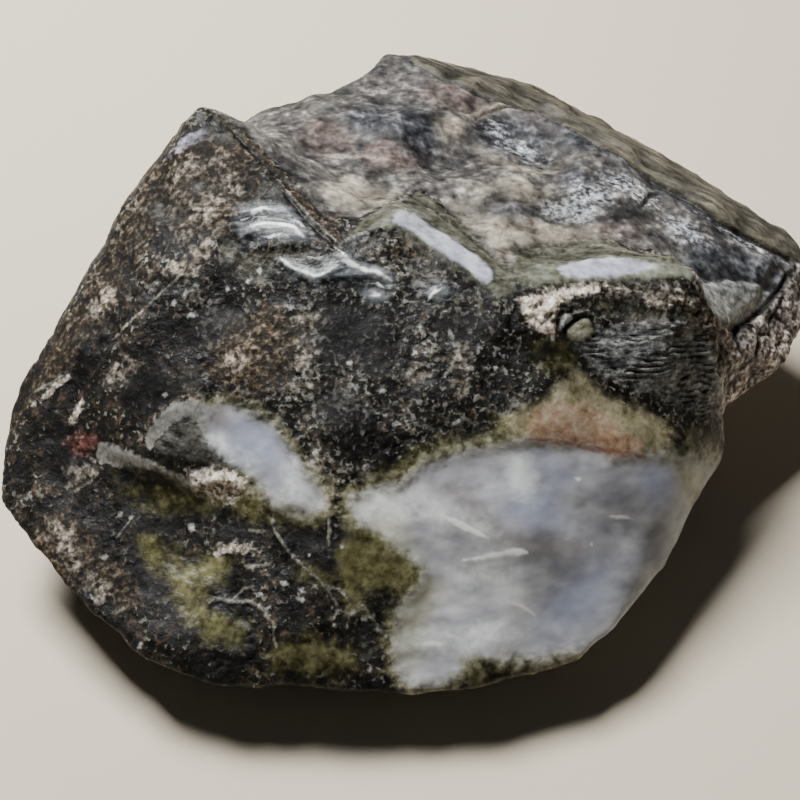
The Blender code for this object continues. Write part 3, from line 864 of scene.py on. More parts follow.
SHAPES = (
    MAIN_WINDOW, SMALL_WINDOW, *STRIPS, *STEP_FACETS, SHELF_SKIN, OUTER_BAND, *SHELF_PATCHES, *OLIVE_PATCHES,
    *RUST_PATCHES, *JADE_TONES, *BROWN_PATCHES, *CRUMB_PATCHES, *FLECKS, *SHEEN_FOLD_MARKS, *DARK_PLACES,
    *SKIN_LINES, *EYE_MARKS,
)


@dataclass(frozen=True)
class Skin:
    """What a shader knows of the skin so far: its colour, roughness and clearness."""

    colour: Socket
    roughness: Socket | float
    clearness: Socket | float


def made_once(method: Callable) -> Callable:
    """Makes a bench's method keep what it makes, so that the same call adds no second set of nodes.

    Args:
        method: A method that makes nodes.

    Returns:
        The method that keeps them.
    """

    @wraps(method)
    def recalled(bench: "Bench", *values: object) -> object:
        """Makes only what was not made before.

        Args:
            bench: The bench that the nodes are on.
            values: What the method is told.

        Returns:
            What the method made, now or before.
        """
        key = (method.__name__, *values)
        if key not in bench.kept:
            bench.kept[key] = method(bench, *values)
        return bench.kept[key]

    return recalled


@dataclass
class Bench:
    """Lays out the nodes of one material."""

    material: bpy.types.Material
    kept: dict[tuple, object] = field(default_factory=dict)

    def node(self, kind: str, **settings: object) -> bpy.types.Node:
        """Adds a node.

        Args:
            kind: The node's type.
            settings: Its properties.

        Returns:
            The node.
        """
        made = self.material.node_tree.nodes.new(kind)
        for name, value in settings.items():
            setattr(made, name, value)
        return made

    def feed(self, socket: Socket, value: object) -> None:
        """Links a socket, or sets its number or colour.

        Args:
            socket: The input.
            value: An output, a number, or a colour.
        """
        if isinstance(value, bpy.types.NodeSocket):
            self.material.node_tree.links.new(value, socket)
        elif socket.type == "RGBA":
            socket.default_value = (*value, 1.0)
        else:
            socket.default_value = value

    @made_once
    def measure(self, name: str) -> Socket:
        """A number that the mesh keeps."""
        return self.node("ShaderNodeAttribute", attribute_name=name).outputs["Fac"]

    @made_once
    def place(self, stretch: Triple, turn: float) -> Socket:
        """The place on the stone in millimetres.

        Args:
            stretch: How many times longer a pattern is along each axis.
            turn: The turn about the upright axis, in degrees.

        Returns:
            The coordinates.
        """
        where = self.node("ShaderNodeTexCoord").outputs["Object"]
        moved = self.node("ShaderNodeMapping", vector_type="TEXTURE")
        self.feed(moved.inputs["Vector"], where)
        self.feed(moved.inputs["Rotation"], (0.0, 0.0, math.radians(turn)))
        self.feed(moved.inputs["Scale"], tuple(MM * share for share in stretch))
        return moved.outputs["Vector"]

    @made_once
    def noise(self, size: float, stretch: Triple, turn: float, detail: float) -> Socket:
        """Rolling noise around 0.5.

        Args:
            size: The size of a lump, in millimetres.
            stretch: How many times longer the lumps are along each axis.
            turn: The turn of that stretch about the upright axis, in degrees.
            detail: How many finer layers the noise has.

        Returns:
            The noise.
        """
        made = self.node("ShaderNodeTexNoise")
        self.feed(made.inputs["Vector"], self.place(stretch, turn))
        self.feed(made.inputs["Scale"], 1.0 / size)
        self.feed(made.inputs["Detail"], detail)
        self.feed(made.inputs["Roughness"], 0.6)
        return made.outputs["Fac"]

    def even_noise(self, size: float) -> Socket:
        """Noise that is stretched nowhere, around 0.5."""
        return self.noise(size, EVEN, 0.0, 3.0)

    @made_once
    def grit(self) -> Socket:
        """Fine, curled noise around 0.5, like crushed crumbs.

        Returns:
            The noise.
        """
        made = self.node("ShaderNodeTexNoise")
        self.feed(made.inputs["Vector"], self.place(EVEN, 0.0))
        self.feed(made.inputs["Scale"], 1.0 / GRIT_SIZE)
        self.feed(made.inputs["Detail"], 1.0)
        self.feed(made.inputs["Roughness"], 0.5)
        self.feed(made.inputs["Distortion"], 0.3)
        return made.outputs["Fac"]

    @made_once
    def crystals(self) -> tuple[Socket, Socket]:
        """Packed crystals.

        Returns:
            Two numbers between 0 and 1, each the same all over one crystal.
        """
        where = self.place(EVEN, 0.0)
        drift = self.node("ShaderNodeTexNoise")
        self.feed(drift.inputs["Vector"], where)
        self.feed(drift.inputs["Scale"], 0.9 / CRYSTAL_SIZE)
        self.feed(drift.inputs["Detail"], 2.0)
        moved = self.node("ShaderNodeVectorMath", operation="MULTIPLY_ADD")
        self.feed(moved.inputs[0], drift.outputs["Color"])
        self.feed(moved.inputs[1], (1.3 * CRYSTAL_SIZE,) * 3)
        self.feed(moved.inputs[2], where)
        packed = self.node("ShaderNodeTexVoronoi")
        self.feed(packed.inputs["Vector"], moved.outputs["Vector"])
        self.feed(packed.inputs["Scale"], 1.0 / CRYSTAL_SIZE)
        parts = self.node("ShaderNodeSeparateColor")
        self.feed(parts.inputs["Color"], packed.outputs["Color"])
        return parts.outputs["Red"], parts.outputs["Green"]

    def sums(self, operation: str, first: object, second: object, third: object = 0.0) -> Socket:
        """Works out a number.

        Args:
            operation: The operation's name in Blender.
            first: A number or an output.
            second: A number or an output.
            third: A number or an output, for the operations that take three.

        Returns:
            The result.
        """
        made = self.node("ShaderNodeMath", operation=operation)
        for socket, value in zip(made.inputs, (first, second, third)):
            self.feed(socket, value)
        return made.outputs[0]

    def weigh(self, start: object, *terms: tuple[Socket, float]) -> Socket:
        """Adds weighted outputs to a start.

        Args:
            start: A number or an output.
            terms: Each output and its weight.

        Returns:
            The sum.
        """
        total = start
        for value, weight in terms:
            total = self.sums("MULTIPLY_ADD", value, weight, total)
        return total

    def rise(self, value: object, low: float, high: float) -> Socket:
        """Rises smoothly from 0 at low to 1 at high.

        Args:
            value: What to judge.
            low: Where the rise begins.
            high: Where it ends.

        Returns:
            The share.
        """
        made = self.node("ShaderNodeMapRange", interpolation_type="SMOOTHSTEP")
        self.feed(made.inputs["Value"], value)
        self.feed(made.inputs["From Min"], low)
        self.feed(made.inputs["From Max"], high)
        return made.outputs["Result"]

    def blend(self, share: object, under: object, over: object, way: str = "MIX") -> Socket:
        """Lays one colour over another.

        Args:
            share: How much of the upper one shows.
            under: The lower colour.
            over: The upper colour.
            way: How the two meet, by its name in Blender.

        Returns:
            The colour.
        """
        made = self.node("ShaderNodeMix", data_type="RGBA", blend_type=way)
        self.feed(made.inputs[0], share)
        self.feed(made.inputs[6], under)
        self.feed(made.inputs[7], over)
        return made.outputs[2]

    def between(self, share: object, under: object, over: object) -> Socket:
        """Moves from one number to another.

        Args:
            share: How far.
            under: The number at 0.
            over: The number at 1.

        Returns:
            The number.
        """
        made = self.node("ShaderNodeMix", data_type="FLOAT")
        self.feed(made.inputs[0], share)
        self.feed(made.inputs[2], under)
        self.feed(made.inputs[3], over)
        return made.outputs[0]

    def tones(self, value: Socket, colours: tuple[Colour, ...]) -> Socket:
        """A run of colours.

        Args:
            value: Where on the run, from 0 to 1.
            colours: From the first to the last, evenly spaced.

        Returns:
            The colour.
        """
        ramp = self.node("ShaderNodeValToRGB")
        stops = ramp.color_ramp.elements
        while len(stops) < len(colours):
            stops.new(0.5)
        for index, colour in enumerate(colours):
            stops[index].position = index / (len(colours) - 1)
            stops[index].color = (*colour, 1.0)
        self.feed(ramp.inputs["Fac"], value)
        return ramp.outputs["Color"]


@dataclass(frozen=True)
class Pattern:
    """How a tone changes over the skin: slowly, finely, from crystal to crystal, and with the grit.

    The sizes are in millimetres and the four strengths say how far each moves the tone.
    """

    drift: float
    drift_strength: float
    grain: float
    grain_strength: float
    crystal_strength: float = 0.0
    grit_strength: float = 0.0
    stretch: Triple = EVEN
    turn: float = 0.0
    detail: float = 3.0

    def value(self, bench: Bench) -> Socket:
        """The tone's place between dark and light.

        Args:
            bench: The material's nodes.

        Returns:
            A number around 0.5.
        """
        key = ("pattern", self)
        if key not in bench.kept:
            slow = bench.noise(self.drift, self.stretch, self.turn, self.detail)
            fine = bench.noise(self.grain, self.stretch, self.turn, self.detail)
            terms = [(slow, self.drift_strength), (fine, self.grain_strength)]
            if self.crystal_strength:
                terms.append((bench.crystals()[0], self.crystal_strength))
            if self.grit_strength:
                terms.append((bench.grit(), self.grit_strength))
            strengths = self.drift_strength + self.grain_strength + self.crystal_strength + self.grit_strength
            bench.kept[key] = bench.weigh(0.5 - strengths / 2.0, *terms)
        return bench.kept[key]


ROCKY = Pattern(2.4, 1.4, 0.7, 1.0, 0.4, 0.9)
CLOUDY = Pattern(4.5, 1.9, 1.2, 1.0)
GRITTY = Pattern(1.2, 1.0, 0.7, 0.8, 0.4, 1.7)
MOSSY = Pattern(2.4, 1.7, 0.7, 0.9, 0.1, 0.3, detail=2.0)
GLASSY = Pattern(3.2, 1.5, 1.2, 0.8, stretch=(1.7, 1.0, 1.0), turn=12.0, detail=1.0)
SOFT = Pattern(2.4, 1.5, 1.2, 1.0, detail=2.0)
STONY = Pattern(2.4, 1.5, 1.2, 0.9, 0.15, 0.35, detail=2.0)
STREAKY = Pattern(1.2, 1.8, 0.7, 1.4, 0.2, 0.5, (4.0, 1.0, 1.0), 6.0)
LAYERED = Pattern(1.2, 1.8, 0.7, 1.6, 0.1, 0.4, (6.0, 1.0, 1.0), LAYER_TURN)


@dataclass(frozen=True)
class Finish:
    """How one area of the skin looks.

    tones run from dark to light along the pattern. reach moves the area's edge outwards, edge is the
    width over which it fades in, and ragged how far it wanders, all in millimetres. cover is how much
    of it shows at most.
    """

    area: Area
    tones: tuple[Colour, ...]
    pattern: Pattern = ROCKY
    roughness: float = 0.4
    clearness: float = 0.0
    reach: float = 0.0
    edge: float = 0.8
    ragged: float = 0.8
    ragged_size: float = 1.2
    cover: float = 1.0

    def share(self, bench: Bench) -> Socket:
        """How much of the finish shows at each place.

        Args:
            bench: The material's nodes.

        Returns:
            The share.
        """
        wander = (bench.even_noise(self.ragged_size), WANDER * self.ragged)
        push = bench.weigh(self.reach - WANDER / 2.0 * self.ragged, wander)
        depth = bench.sums("ADD", bench.measure(self.area.value), push)
        shows = bench.rise(depth, -self.edge / 2.0, self.edge / 2.0)
        return bench.sums("MULTIPLY", shows, self.cover) if self.cover < 1.0 else shows

    def tone(self, bench: Bench) -> Socket:
        """The finish's own colour."""
        return bench.tones(self.pattern.value(bench), self.tones)

    def lay(self, bench: Bench, skin: Skin) -> Skin:
        """Lays the finish over what is there.

        Args:
            bench: The material's nodes.
            skin: The skin under it.

        Returns:
            The skin with it.
        """
        share = self.share(bench)
        return Skin(
            bench.blend(share, skin.colour, self.tone(bench)),
            bench.between(share, skin.roughness, self.roughness),
            bench.between(share, skin.clearness, self.clearness),
        )


@dataclass(frozen=True)
class Rind:
    """The black skin: blue-black to brown-black crystals, brown mottles, pale crumbs in swarms, and painted
    glints on the palest of them.

    Each of the three kinds of mark begins and is full at the two levels of noise in its _from pair.
    """

    darkness: tuple[Colour, ...] = (
        (0.0018, 0.0018, 0.0018), (0.0045, 0.0045, 0.0044), (0.010, 0.0097, 0.009), (0.024, 0.0225, 0.019),
        (0.055, 0.050, 0.042),
    )
    hues: tuple[Colour, ...] = (
        (0.80, 0.92, 1.15), (0.95, 1.0, 1.0), (1.25, 1.05, 0.85), (1.05, 1.05, 0.70), (1.5, 1.05, 0.75),
    )
    browns: tuple[Colour, ...] = ((0.010, 0.0075, 0.005), (0.045, 0.031, 0.020), (0.13, 0.092, 0.060))
    crumbs: tuple[Colour, ...] = (
        (0.075, 0.058, 0.040), (0.105, 0.098, 0.074), (0.135, 0.135, 0.122), (0.21, 0.21, 0.205),
    )
    # glint: a painted highlight on the palest crumbs.
    glint: Colour = (0.36, 0.355, 0.34)
    mottles_from: tuple[float, float] = (0.74, 0.86)
    mottle_cover: float = 0.7
    crumbs_from: tuple[float, float] = (0.91, 1.08)
    crumb_cover: float = 0.85
    glints_from: tuple[float, float] = (1.15, 1.22)
    roughness: tuple[float, float] = (0.46, 0.66)
    swarm_size: float = 8.0
    middling_size: float = 2.4
    mottle_size: float = 1.2
    fine_size: float = 0.7

    def lay(self, bench: Bench) -> Skin:
        """Makes the skin that every other finish lies over.

        Args:
            bench: The material's nodes.

        Returns:
            The skin.
        """
        swarm = bench.even_noise(self.swarm_size)
        middling = bench.even_noise(self.middling_size)
        fine = bench.even_noise(self.fine_size)
        kind, hue = bench.crystals()
        level = bench.weigh(-0.95, (kind, 0.26), (swarm, 0.9), (middling, 0.8), (fine, 0.5))
        colour = bench.blend(1.0, bench.tones(level, self.darkness), bench.tones(hue, self.hues), "MULTIPLY")
        brown = bench.tones(bench.weigh(-0.3, (fine, 1.6)), self.browns)
        mottles = bench.weigh(bench.even_noise(self.mottle_size), (swarm, 0.4))
        mottled = bench.rise(mottles, *self.mottles_from)
        colour = bench.blend(bench.sums("MULTIPLY", mottled, self.mottle_cover), colour, brown)
        sparse = bench.rise(bench.measure(Area.SPARSE.value), -2.0, 2.0)
        crowd = bench.weigh(bench.grit(), (swarm, 0.45), (middling, 0.35), (sparse, -0.10))
        pale = bench.rise(crowd, *self.crumbs_from)
        crumb = bench.tones(hue, self.crumbs)
        colour = bench.blend(bench.sums("MULTIPLY", pale, self.crumb_cover), colour, crumb)
        colour = bench.blend(bench.rise(crowd, *self.glints_from), colour, self.glint)
        return Skin(colour, bench.between(kind, *self.roughness), 0.0)


SHELF = Finish(
    Area.SHELF,
    (
        (0.013, 0.013, 0.015), (0.034, 0.033, 0.034), (0.062, 0.057, 0.055), (0.094, 0.088, 0.080),
        (0.18, 0.174, 0.164), (0.31, 0.305, 0.295),
    ),
    pattern=STONY, roughness=0.55, ragged=0.2,
)
SHELF_PINK = Finish(
    Area.PINK,
    ((0.022, 0.014, 0.013), (0.065, 0.046, 0.040), (0.145, 0.106, 0.094), (0.25, 0.20, 0.18)),
    pattern=STONY, roughness=0.6, edge=3.0, ragged=0.7, ragged_size=2.4, cover=0.75,
)
SHELF_CREAM = Finish(
    Area.CREAM,
    ((0.067, 0.056, 0.043), (0.169, 0.149, 0.114), (0.281, 0.254, 0.203), (0.429, 0.394, 0.327)),
    pattern=STONY, roughness=0.65, edge=3.0, ragged=0.7, ragged_size=2.4, cover=0.88,
)
SHELF_SLATE = Finish(
    Area.SLATE,
    (
        (0.0034, 0.0038, 0.0055), (0.014, 0.015, 0.020), (0.041, 0.043, 0.051), (0.102, 0.105, 0.115),
        (0.221, 0.225, 0.238),
    ),
    pattern=STONY, roughness=0.5, edge=2.6, ragged=0.7, ragged_size=2.4, cover=0.88,
)
# Painted glints on the shelf: grit that runs up to white, with lower roughness.
SHELF_PAINTED_GLINTS = Finish(
    Area.PAINTED_GLINTS,
    (
        (0.014, 0.015, 0.018), (0.080, 0.083, 0.089), (0.246, 0.253, 0.265), (0.517, 0.530, 0.542),
        (0.813, 0.825, 0.838),
    ),
    pattern=GRITTY, roughness=0.35, edge=2.6, cover=0.88,
)
BAND = Finish(
    Area.BAND,
    ((0.018, 0.016, 0.011), (0.055, 0.050, 0.037), (0.10, 0.092, 0.069), (0.16, 0.148, 0.113)),
    pattern=LAYERED, roughness=0.6, edge=0.5, ragged=0.15,
)
BROKEN = Finish(
    Area.BROKEN,
    (
        (0.018, 0.014, 0.011), (0.075, 0.061, 0.053), (0.206, 0.177, 0.158), (0.425, 0.385, 0.356),
        (0.650, 0.613, 0.581),
    ),
    pattern=GRITTY, roughness=0.6, edge=3.0, ragged=1.0, ragged_size=2.4,
)
STREAKED = Finish(
    Area.STREAKED,
    ((0.054, 0.055, 0.052), (0.168, 0.172, 0.162), (0.348, 0.354, 0.336), (0.600, 0.606, 0.588)),
    pattern=STREAKY, roughness=0.42, edge=0.5, ragged=0.12,
)
FACET = Finish(
    Area.FACET,
    ((0.010, 0.010, 0.006), (0.042, 0.042, 0.028), (0.10, 0.10, 0.076), (0.175, 0.175, 0.145)),
    pattern=Pattern(2.4, 1.7, 0.7, 1.2, 0.2, 0.6, (2.0, 1.0, 1.0)), roughness=0.36, edge=0.6, ragged=0.2,
)
PALE_FACET = Finish(
    Area.PALE_FACET,
    ((0.055, 0.057, 0.038), (0.135, 0.139, 0.102), (0.225, 0.23, 0.185), (0.33, 0.335, 0.285)),
    pattern=SOFT, roughness=0.3, clearness=0.4, edge=1.6, ragged=0.4, cover=0.88,
)
BROWN = Finish(
    Area.BROWN,
    (
        (0.0031, 0.0023, 0.0014), (0.012, 0.0078, 0.0046), (0.032, 0.023, 0.013), (0.096, 0.070, 0.044),
        (0.211, 0.167, 0.119),
    ),
    pattern=GRITTY, roughness=0.85, edge=2.0, cover=0.72,
)
LILAC = Finish(
    Area.LILAC,
    ((0.045, 0.041, 0.052), (0.19, 0.18, 0.215), (0.36, 0.345, 0.39)),
    pattern=GRITTY, edge=1.0, ragged=0.5, cover=0.75,
)
# Glossy folds: low roughness, with grey streaks painted over the black as sheen.
SHEEN_FOLDS = Finish(
    Area.SHEEN_FOLDS,
    (
        (0.004, 0.0045, 0.0052), (0.014, 0.016, 0.018), (0.045, 0.050, 0.055), (0.11, 0.12, 0.128),
        (0.22, 0.232, 0.242),
    ),
    pattern=STREAKY, roughness=0.26, edge=1.6, ragged=0.5, ragged_size=2.4, cover=0.92,
)
GLARE = Finish(
    Area.GLARE,
    ((0.022, 0.025, 0.028), (0.075, 0.082, 0.088), (0.175, 0.187, 0.197), (0.32, 0.335, 0.345)),
    pattern=Pattern(2.4, 1.4, 0.7, 1.0, 0.0, 0.3, (3.0, 1.0, 1.0), -12.0, 2.0),
    roughness=0.3, ragged=0.2, cover=0.85,
)
STRIATED = Finish(
    Area.STRIATED,
    ((0.011, 0.011, 0.013), (0.052, 0.052, 0.052), (0.172, 0.176, 0.168), (0.414, 0.420, 0.391)),
    pattern=Pattern(1.2, 0.9, 0.7, 2.1, 0.2, 0.6, (5.0, 1.0, 1.0), 0.0, 4.0),
    edge=1.4, ragged=0.7,
)
# Painted shade in recesses and under overhangs; these areas also lie sunk.
RECESS_SHADE = Finish(
    Area.RECESS_SHADE,
    ((0.0060, 0.0060, 0.0046), (0.018, 0.018, 0.013), (0.066, 0.061, 0.046), (0.165, 0.154, 0.127)),
    roughness=0.5, edge=0.9, ragged=0.35, cover=0.85,
)
DARK_OLIVE = Finish(
    Area.DARK_OLIVE,
    ((0.0034, 0.0033, 0.0014), (0.012, 0.011, 0.0044), (0.041, 0.037, 0.015), (0.109, 0.102, 0.057)),
    pattern=MOSSY, roughness=0.32, clearness=0.15, edge=2.6, ragged=0.9, ragged_size=2.4, cover=0.9,
)
OLIVE = Finish(
    Area.OLIVE,
    (
        (0.0070, 0.0065, 0.0019), (0.026, 0.025, 0.0080), (0.070, 0.065, 0.024), (0.132, 0.126, 0.053),
        (0.220, 0.214, 0.102),
    ),
    pattern=MOSSY, clearness=0.12, edge=2.6, ragged=0.5, ragged_size=2.4, cover=0.95,
)
PALE_OLIVE = Finish(
    Area.PALE_OLIVE,
    ((0.032, 0.030, 0.012), (0.080, 0.075, 0.032), (0.140, 0.132, 0.062), (0.205, 0.195, 0.102)),
    pattern=MOSSY, clearness=0.1, edge=2.2, ragged=0.6, cover=0.85,
)
TAN = Finish(
    Area.TAN,
    ((0.092, 0.081, 0.041), (0.196, 0.174, 0.102), (0.316, 0.284, 0.182), (0.471, 0.431, 0.299)),
    pattern=MOSSY, roughness=0.32, clearness=0.3, edge=1.6, ragged=0.45, ragged_size=2.4,
)
RUST = Finish(
    Area.RUST,
    ((0.16, 0.088, 0.046), (0.265, 0.172, 0.106), (0.355, 0.262, 0.182), (0.47, 0.39, 0.305)),
    pattern=MOSSY, roughness=0.32, clearness=0.35, reach=0.2, edge=0.9, ragged=0.25, ragged_size=2.4,
    cover=0.92,
)
WINDOW_RIM = Finish(
    Area.JADE,
    ((0.040, 0.038, 0.018), (0.115, 0.111, 0.060), (0.235, 0.225, 0.146), (0.37, 0.36, 0.265)),
    pattern=MOSSY, roughness=0.32, clearness=0.4, reach=1.1, edge=2.0, ragged=0.6,
)
JADE = Finish(
    Area.JADE,
    (
        (0.22, 0.222, 0.235), (0.31, 0.313, 0.33), (0.40, 0.405, 0.425), (0.49, 0.495, 0.512),
        (0.60, 0.605, 0.615),
    ),
    pattern=GLASSY, roughness=0.24, clearness=0.8, reach=0.2, edge=1.9, ragged=0.35,
)
MILK = Finish(
    Area.MILK,
    ((0.14, 0.134, 0.080), (0.30, 0.293, 0.21), (0.45, 0.445, 0.35), (0.56, 0.555, 0.47)),
    pattern=GLASSY, edge=3.0, ragged=0.6, ragged_size=2.4, cover=0.8,
)
CLOUD = Finish(
    Area.CLOUD,
    ((0.60, 0.64, 0.61), (0.94, 0.97, 0.94)),
    pattern=GLASSY, edge=2.0, ragged=0.4, cover=0.82,
)
SKY = Finish(
    Area.SKY,
    ((0.29, 0.32, 0.43), (0.41, 0.445, 0.57)),
    pattern=GLASSY, edge=3.4, ragged=0.4, ragged_size=2.4, cover=0.72,
)
# Painted shade in the jade: a darker grey laid over the window.
JADE_SHADE = Finish(
    Area.JADE_SHADE,
    ((0.136, 0.136, 0.157), (0.230, 0.230, 0.255)),
    pattern=GLASSY, edge=3.0, ragged=0.5, ragged_size=2.4, cover=0.65,
)
SMOKE = Finish(
    Area.SMOKE,
    ((0.162, 0.140, 0.132), (0.272, 0.242, 0.230)),
    pattern=GLASSY, edge=1.8, ragged=0.4, ragged_size=2.4, cover=0.6,
)
STRIP = Finish(
    Area.STRIP,
    ((0.254, 0.259, 0.310), (0.348, 0.355, 0.428), (0.451, 0.465, 0.517), (0.545, 0.569, 0.555)),
    pattern=SOFT, roughness=0.24, clearness=0.6, ragged=0.15,
)
# Pale grey: the grey plate's own colour, and a painted highlight along the scar's upper edge.
PLATE_AND_EDGE_HIGHLIGHT = Finish(
    Area.PLATE_AND_EDGE_HIGHLIGHT,
    (
        (0.050, 0.049, 0.044), (0.110, 0.108, 0.097), (0.175, 0.171, 0.155), (0.26, 0.255, 0.235),
        (0.37, 0.365, 0.345),
    ),
    pattern=Pattern(1.2, 1.0, 0.7, 0.8, 0.15, 0.5),
    roughness=0.5, reach=0.1, edge=0.35, ragged=0.22, ragged_size=1.0,
)
BUFF = Finish(
    Area.BUFF,
    (
        (0.010, 0.0080, 0.0056), (0.049, 0.040, 0.030), (0.151, 0.129, 0.101), (0.308, 0.271, 0.225),
        (0.517, 0.475, 0.408),
    ),
    pattern=GRITTY, roughness=0.85, edge=1.8, ragged=0.7, cover=0.72,
)
CALM = Finish(
    Area.CALM,
    ((0.0015, 0.0015, 0.0017), (0.0039, 0.0039, 0.0045), (0.011, 0.011, 0.011), (0.030, 0.030, 0.031)),
    roughness=0.72, edge=2.6, ragged=0.9, cover=0.66,
)
CRUMB = Finish(
    Area.CRUMB,
    (
        (0.090, 0.075, 0.058), (0.265, 0.225, 0.180), (0.509, 0.445, 0.371), (0.700, 0.636, 0.551),
        (0.869, 0.806, 0.721),
    ),
    pattern=GRITTY, roughness=0.5, ragged=0.35, ragged_size=0.7, cover=0.92,
)
LUMP = Finish(
    Area.LUMP,
    ((0.008, 0.008, 0.007), (0.026, 0.026, 0.023), (0.072, 0.071, 0.064), (0.16, 0.158, 0.145)),
    pattern=Pattern(1.2, 1.8, 0.7, 1.4, 0.2, 0.5, (3.0, 1.0, 1.0), -25.0),
    roughness=0.5, edge=1.2, ragged=0.4, cover=0.85,
)
FLECK = Finish(
    Area.FLECK,
    ((0.30, 0.295, 0.275), (0.56, 0.55, 0.52)),
    pattern=GRITTY, reach=0.06, edge=0.3, ragged=0.12, ragged_size=0.7, cover=0.85,
)
VEIN = Finish(
    Area.VEIN,
    ((0.07, 0.066, 0.050), (0.20, 0.193, 0.16), (0.38, 0.37, 0.33)),
    pattern=GRITTY, roughness=0.45, edge=0.3, ragged=0.08, ragged_size=0.7, cover=0.8,
)
# Painted highlights: near-white streaks that stand for light caught by the gloss.
PAINTED_HIGHLIGHT = Finish(
    Area.PAINTED_HIGHLIGHT,
    ((0.74, 0.745, 0.74), (0.97, 0.975, 0.97)),
    pattern=CLOUDY, roughness=0.3, clearness=0.2, edge=0.3, ragged=0.08, cover=0.88,
)
CRACK = Finish(
    Area.CRACK,
    ((0.004, 0.004, 0.004), (0.012, 0.011, 0.010)),
    roughness=0.5, edge=0.5, ragged=0.2, cover=0.85,
)
RED = Finish(
    Area.RED,
    ((0.066, 0.024, 0.019), (0.220, 0.088, 0.072), (0.441, 0.252, 0.221)),
    pattern=GRITTY, roughness=0.35, edge=1.4, ragged=0.35, cover=0.85,
)
SEAM = Finish(
    Area.SEAM,
    ((0.090, 0.032, 0.016), (0.17, 0.075, 0.042), (0.26, 0.14, 0.088)),
    pattern=SOFT, edge=0.4, ragged=0.12, cover=0.85,
)
BEAD = Finish(
    Area.BEAD,
    ((0.070, 0.066, 0.040), (0.15, 0.142, 0.095), (0.23, 0.215, 0.155)),
    pattern=SOFT, roughness=0.5, clearness=0.3, edge=0.4, ragged=0.05,
)
LAYERS = (
    BROWN, CALM, BUFF, LILAC, SHEEN_FOLDS, GLARE, STRIATED, BROKEN,
    SHELF, SHELF_PINK, SHELF_CREAM, SHELF_SLATE, SHELF_PAINTED_GLINTS, BAND, STREAKED, FACET, PALE_FACET, RECESS_SHADE,
    DARK_OLIVE, OLIVE, PALE_OLIVE, TAN, WINDOW_RIM, RUST, LUMP, CRUMB, RED, PLATE_AND_EDGE_HIGHLIGHT, JADE,
)
WINDOW_TONES = (MILK, SKY, JADE_SHADE, SMOKE, CLOUD)
LINE_LAYERS = (STRIP, SEAM, VEIN, CRACK, FLECK, PAINTED_HIGHLIGHT, BEAD)


@dataclass(frozen=True)
class StoneSkin:
    """The whole skin as one material: the rind, the areas over it, and the windows into the jade."""

    name: str = "weathered_skin"
    sink_length: float = 1.6
    bump_height: float = 0.14
    fine_size: float = 0.7
    # Multipliers by relief: painted shade and dirt in the crevices, painted light and wear on the crests.
    shade_and_wear_tones: tuple[Colour, ...] = ((0.22, 0.22, 0.22), (0.9, 0.9, 0.9), (1.7, 1.66, 1.6))
    sinking: Colour = (1.0, 0.95, 0.9)
    refraction: float = 1.5
    gloss: float = 0.2

    def window(self, bench: Bench, skin: Skin) -> Skin:
        """Lays the tones that lie inside the jade.

        Args:
            bench: The material's nodes.
            skin: The skin under them.

        Returns:
            The skin with them.
        """
        inside = JADE.share(bench)
        colour = skin.colour
        for finish in WINDOW_TONES:
            share = bench.sums("MULTIPLY", finish.share(bench), inside)
            colour = bench.blend(share, colour, finish.tone(bench))
        return Skin(colour, skin.roughness, skin.clearness)

    def shade_and_wear(self, bench: Bench, skin: Skin) -> Skin:
        """Paints shade and dirt into the crevices, and painted light and wear onto what stands out.

        Args:
            bench: The material's nodes.
            skin: The skin.

        Returns:
            The weathered skin.
        """
        raised = bench.weigh(0.5, (bench.measure(RELIEF), 1.4))
        shade = bench.tones(raised, self.shade_and_wear_tones)
        hard = bench.sums("SUBTRACT", 1.0, skin.clearness)
        colour = bench.blend(hard, skin.colour, shade, "MULTIPLY")
        return Skin(colour, skin.roughness, skin.clearness)

    def make(self) -> bpy.types.Material:
        """Builds the material.

        Returns:
            The material.
        """
        material = bpy.data.materials.new(self.name)
        material.use_nodes = True
        bench = Bench(material)
        skin = Rind().lay(bench)
        for finish in LAYERS:
            skin = finish.lay(bench, skin)
        skin = self.window(bench, skin)
        for finish in LINE_LAYERS:
            skin = finish.lay(bench, skin)
        skin = self.shade_and_wear(bench, skin)

        surface = material.node_tree.nodes["Principled BSDF"]
        bump = bench.node("ShaderNodeBump")
        bump.inputs["Strength"].default_value = 1.0
        bump.inputs["Distance"].default_value = self.bump_height * MM
        grain = bench.weigh(0.0, (bench.even_noise(self.fine_size), 0.6), (bench.grit(), 0.9))
        bench.feed(bump.inputs["Height"], bench.sums("MULTIPLY", grain, bench.measure(GRAIN)))
        bench.feed(surface.inputs["Normal"], bump.outputs["Normal"])
        bench.feed(surface.inputs["Base Color"], skin.colour)
        bench.feed(surface.inputs["Roughness"], skin.roughness)
        bench.feed(surface.inputs["Subsurface Weight"], skin.clearness)
        surface.inputs["Subsurface Radius"].default_value = self.sinking
        surface.inputs["Subsurface Scale"].default_value = self.sink_length * MM
        surface.inputs["IOR"].default_value = self.refraction
        surface.inputs["Specular IOR Level"].default_value = self.gloss
        return material


# Areas that stand out or lie sunk as a whole: how far, and the softness of their edge, in millimetres.
MARK_HEIGHTS = (
    (Area.JADE, -0.22, 0.7), (Area.RECESS_SHADE, -0.35, 0.6), (Area.VEIN, 0.08, 0.3), (Area.PAINTED_HIGHLIGHT, 0.06, 0.3),
    (Area.PLATE_AND_EDGE_HIGHLIGHT, 0.18, 0.5), (Area.FLECK, 0.05, 0.3), (Area.LUMP, 0.35, 0.9), (Area.CRACK, -0.5, 0.3),
)


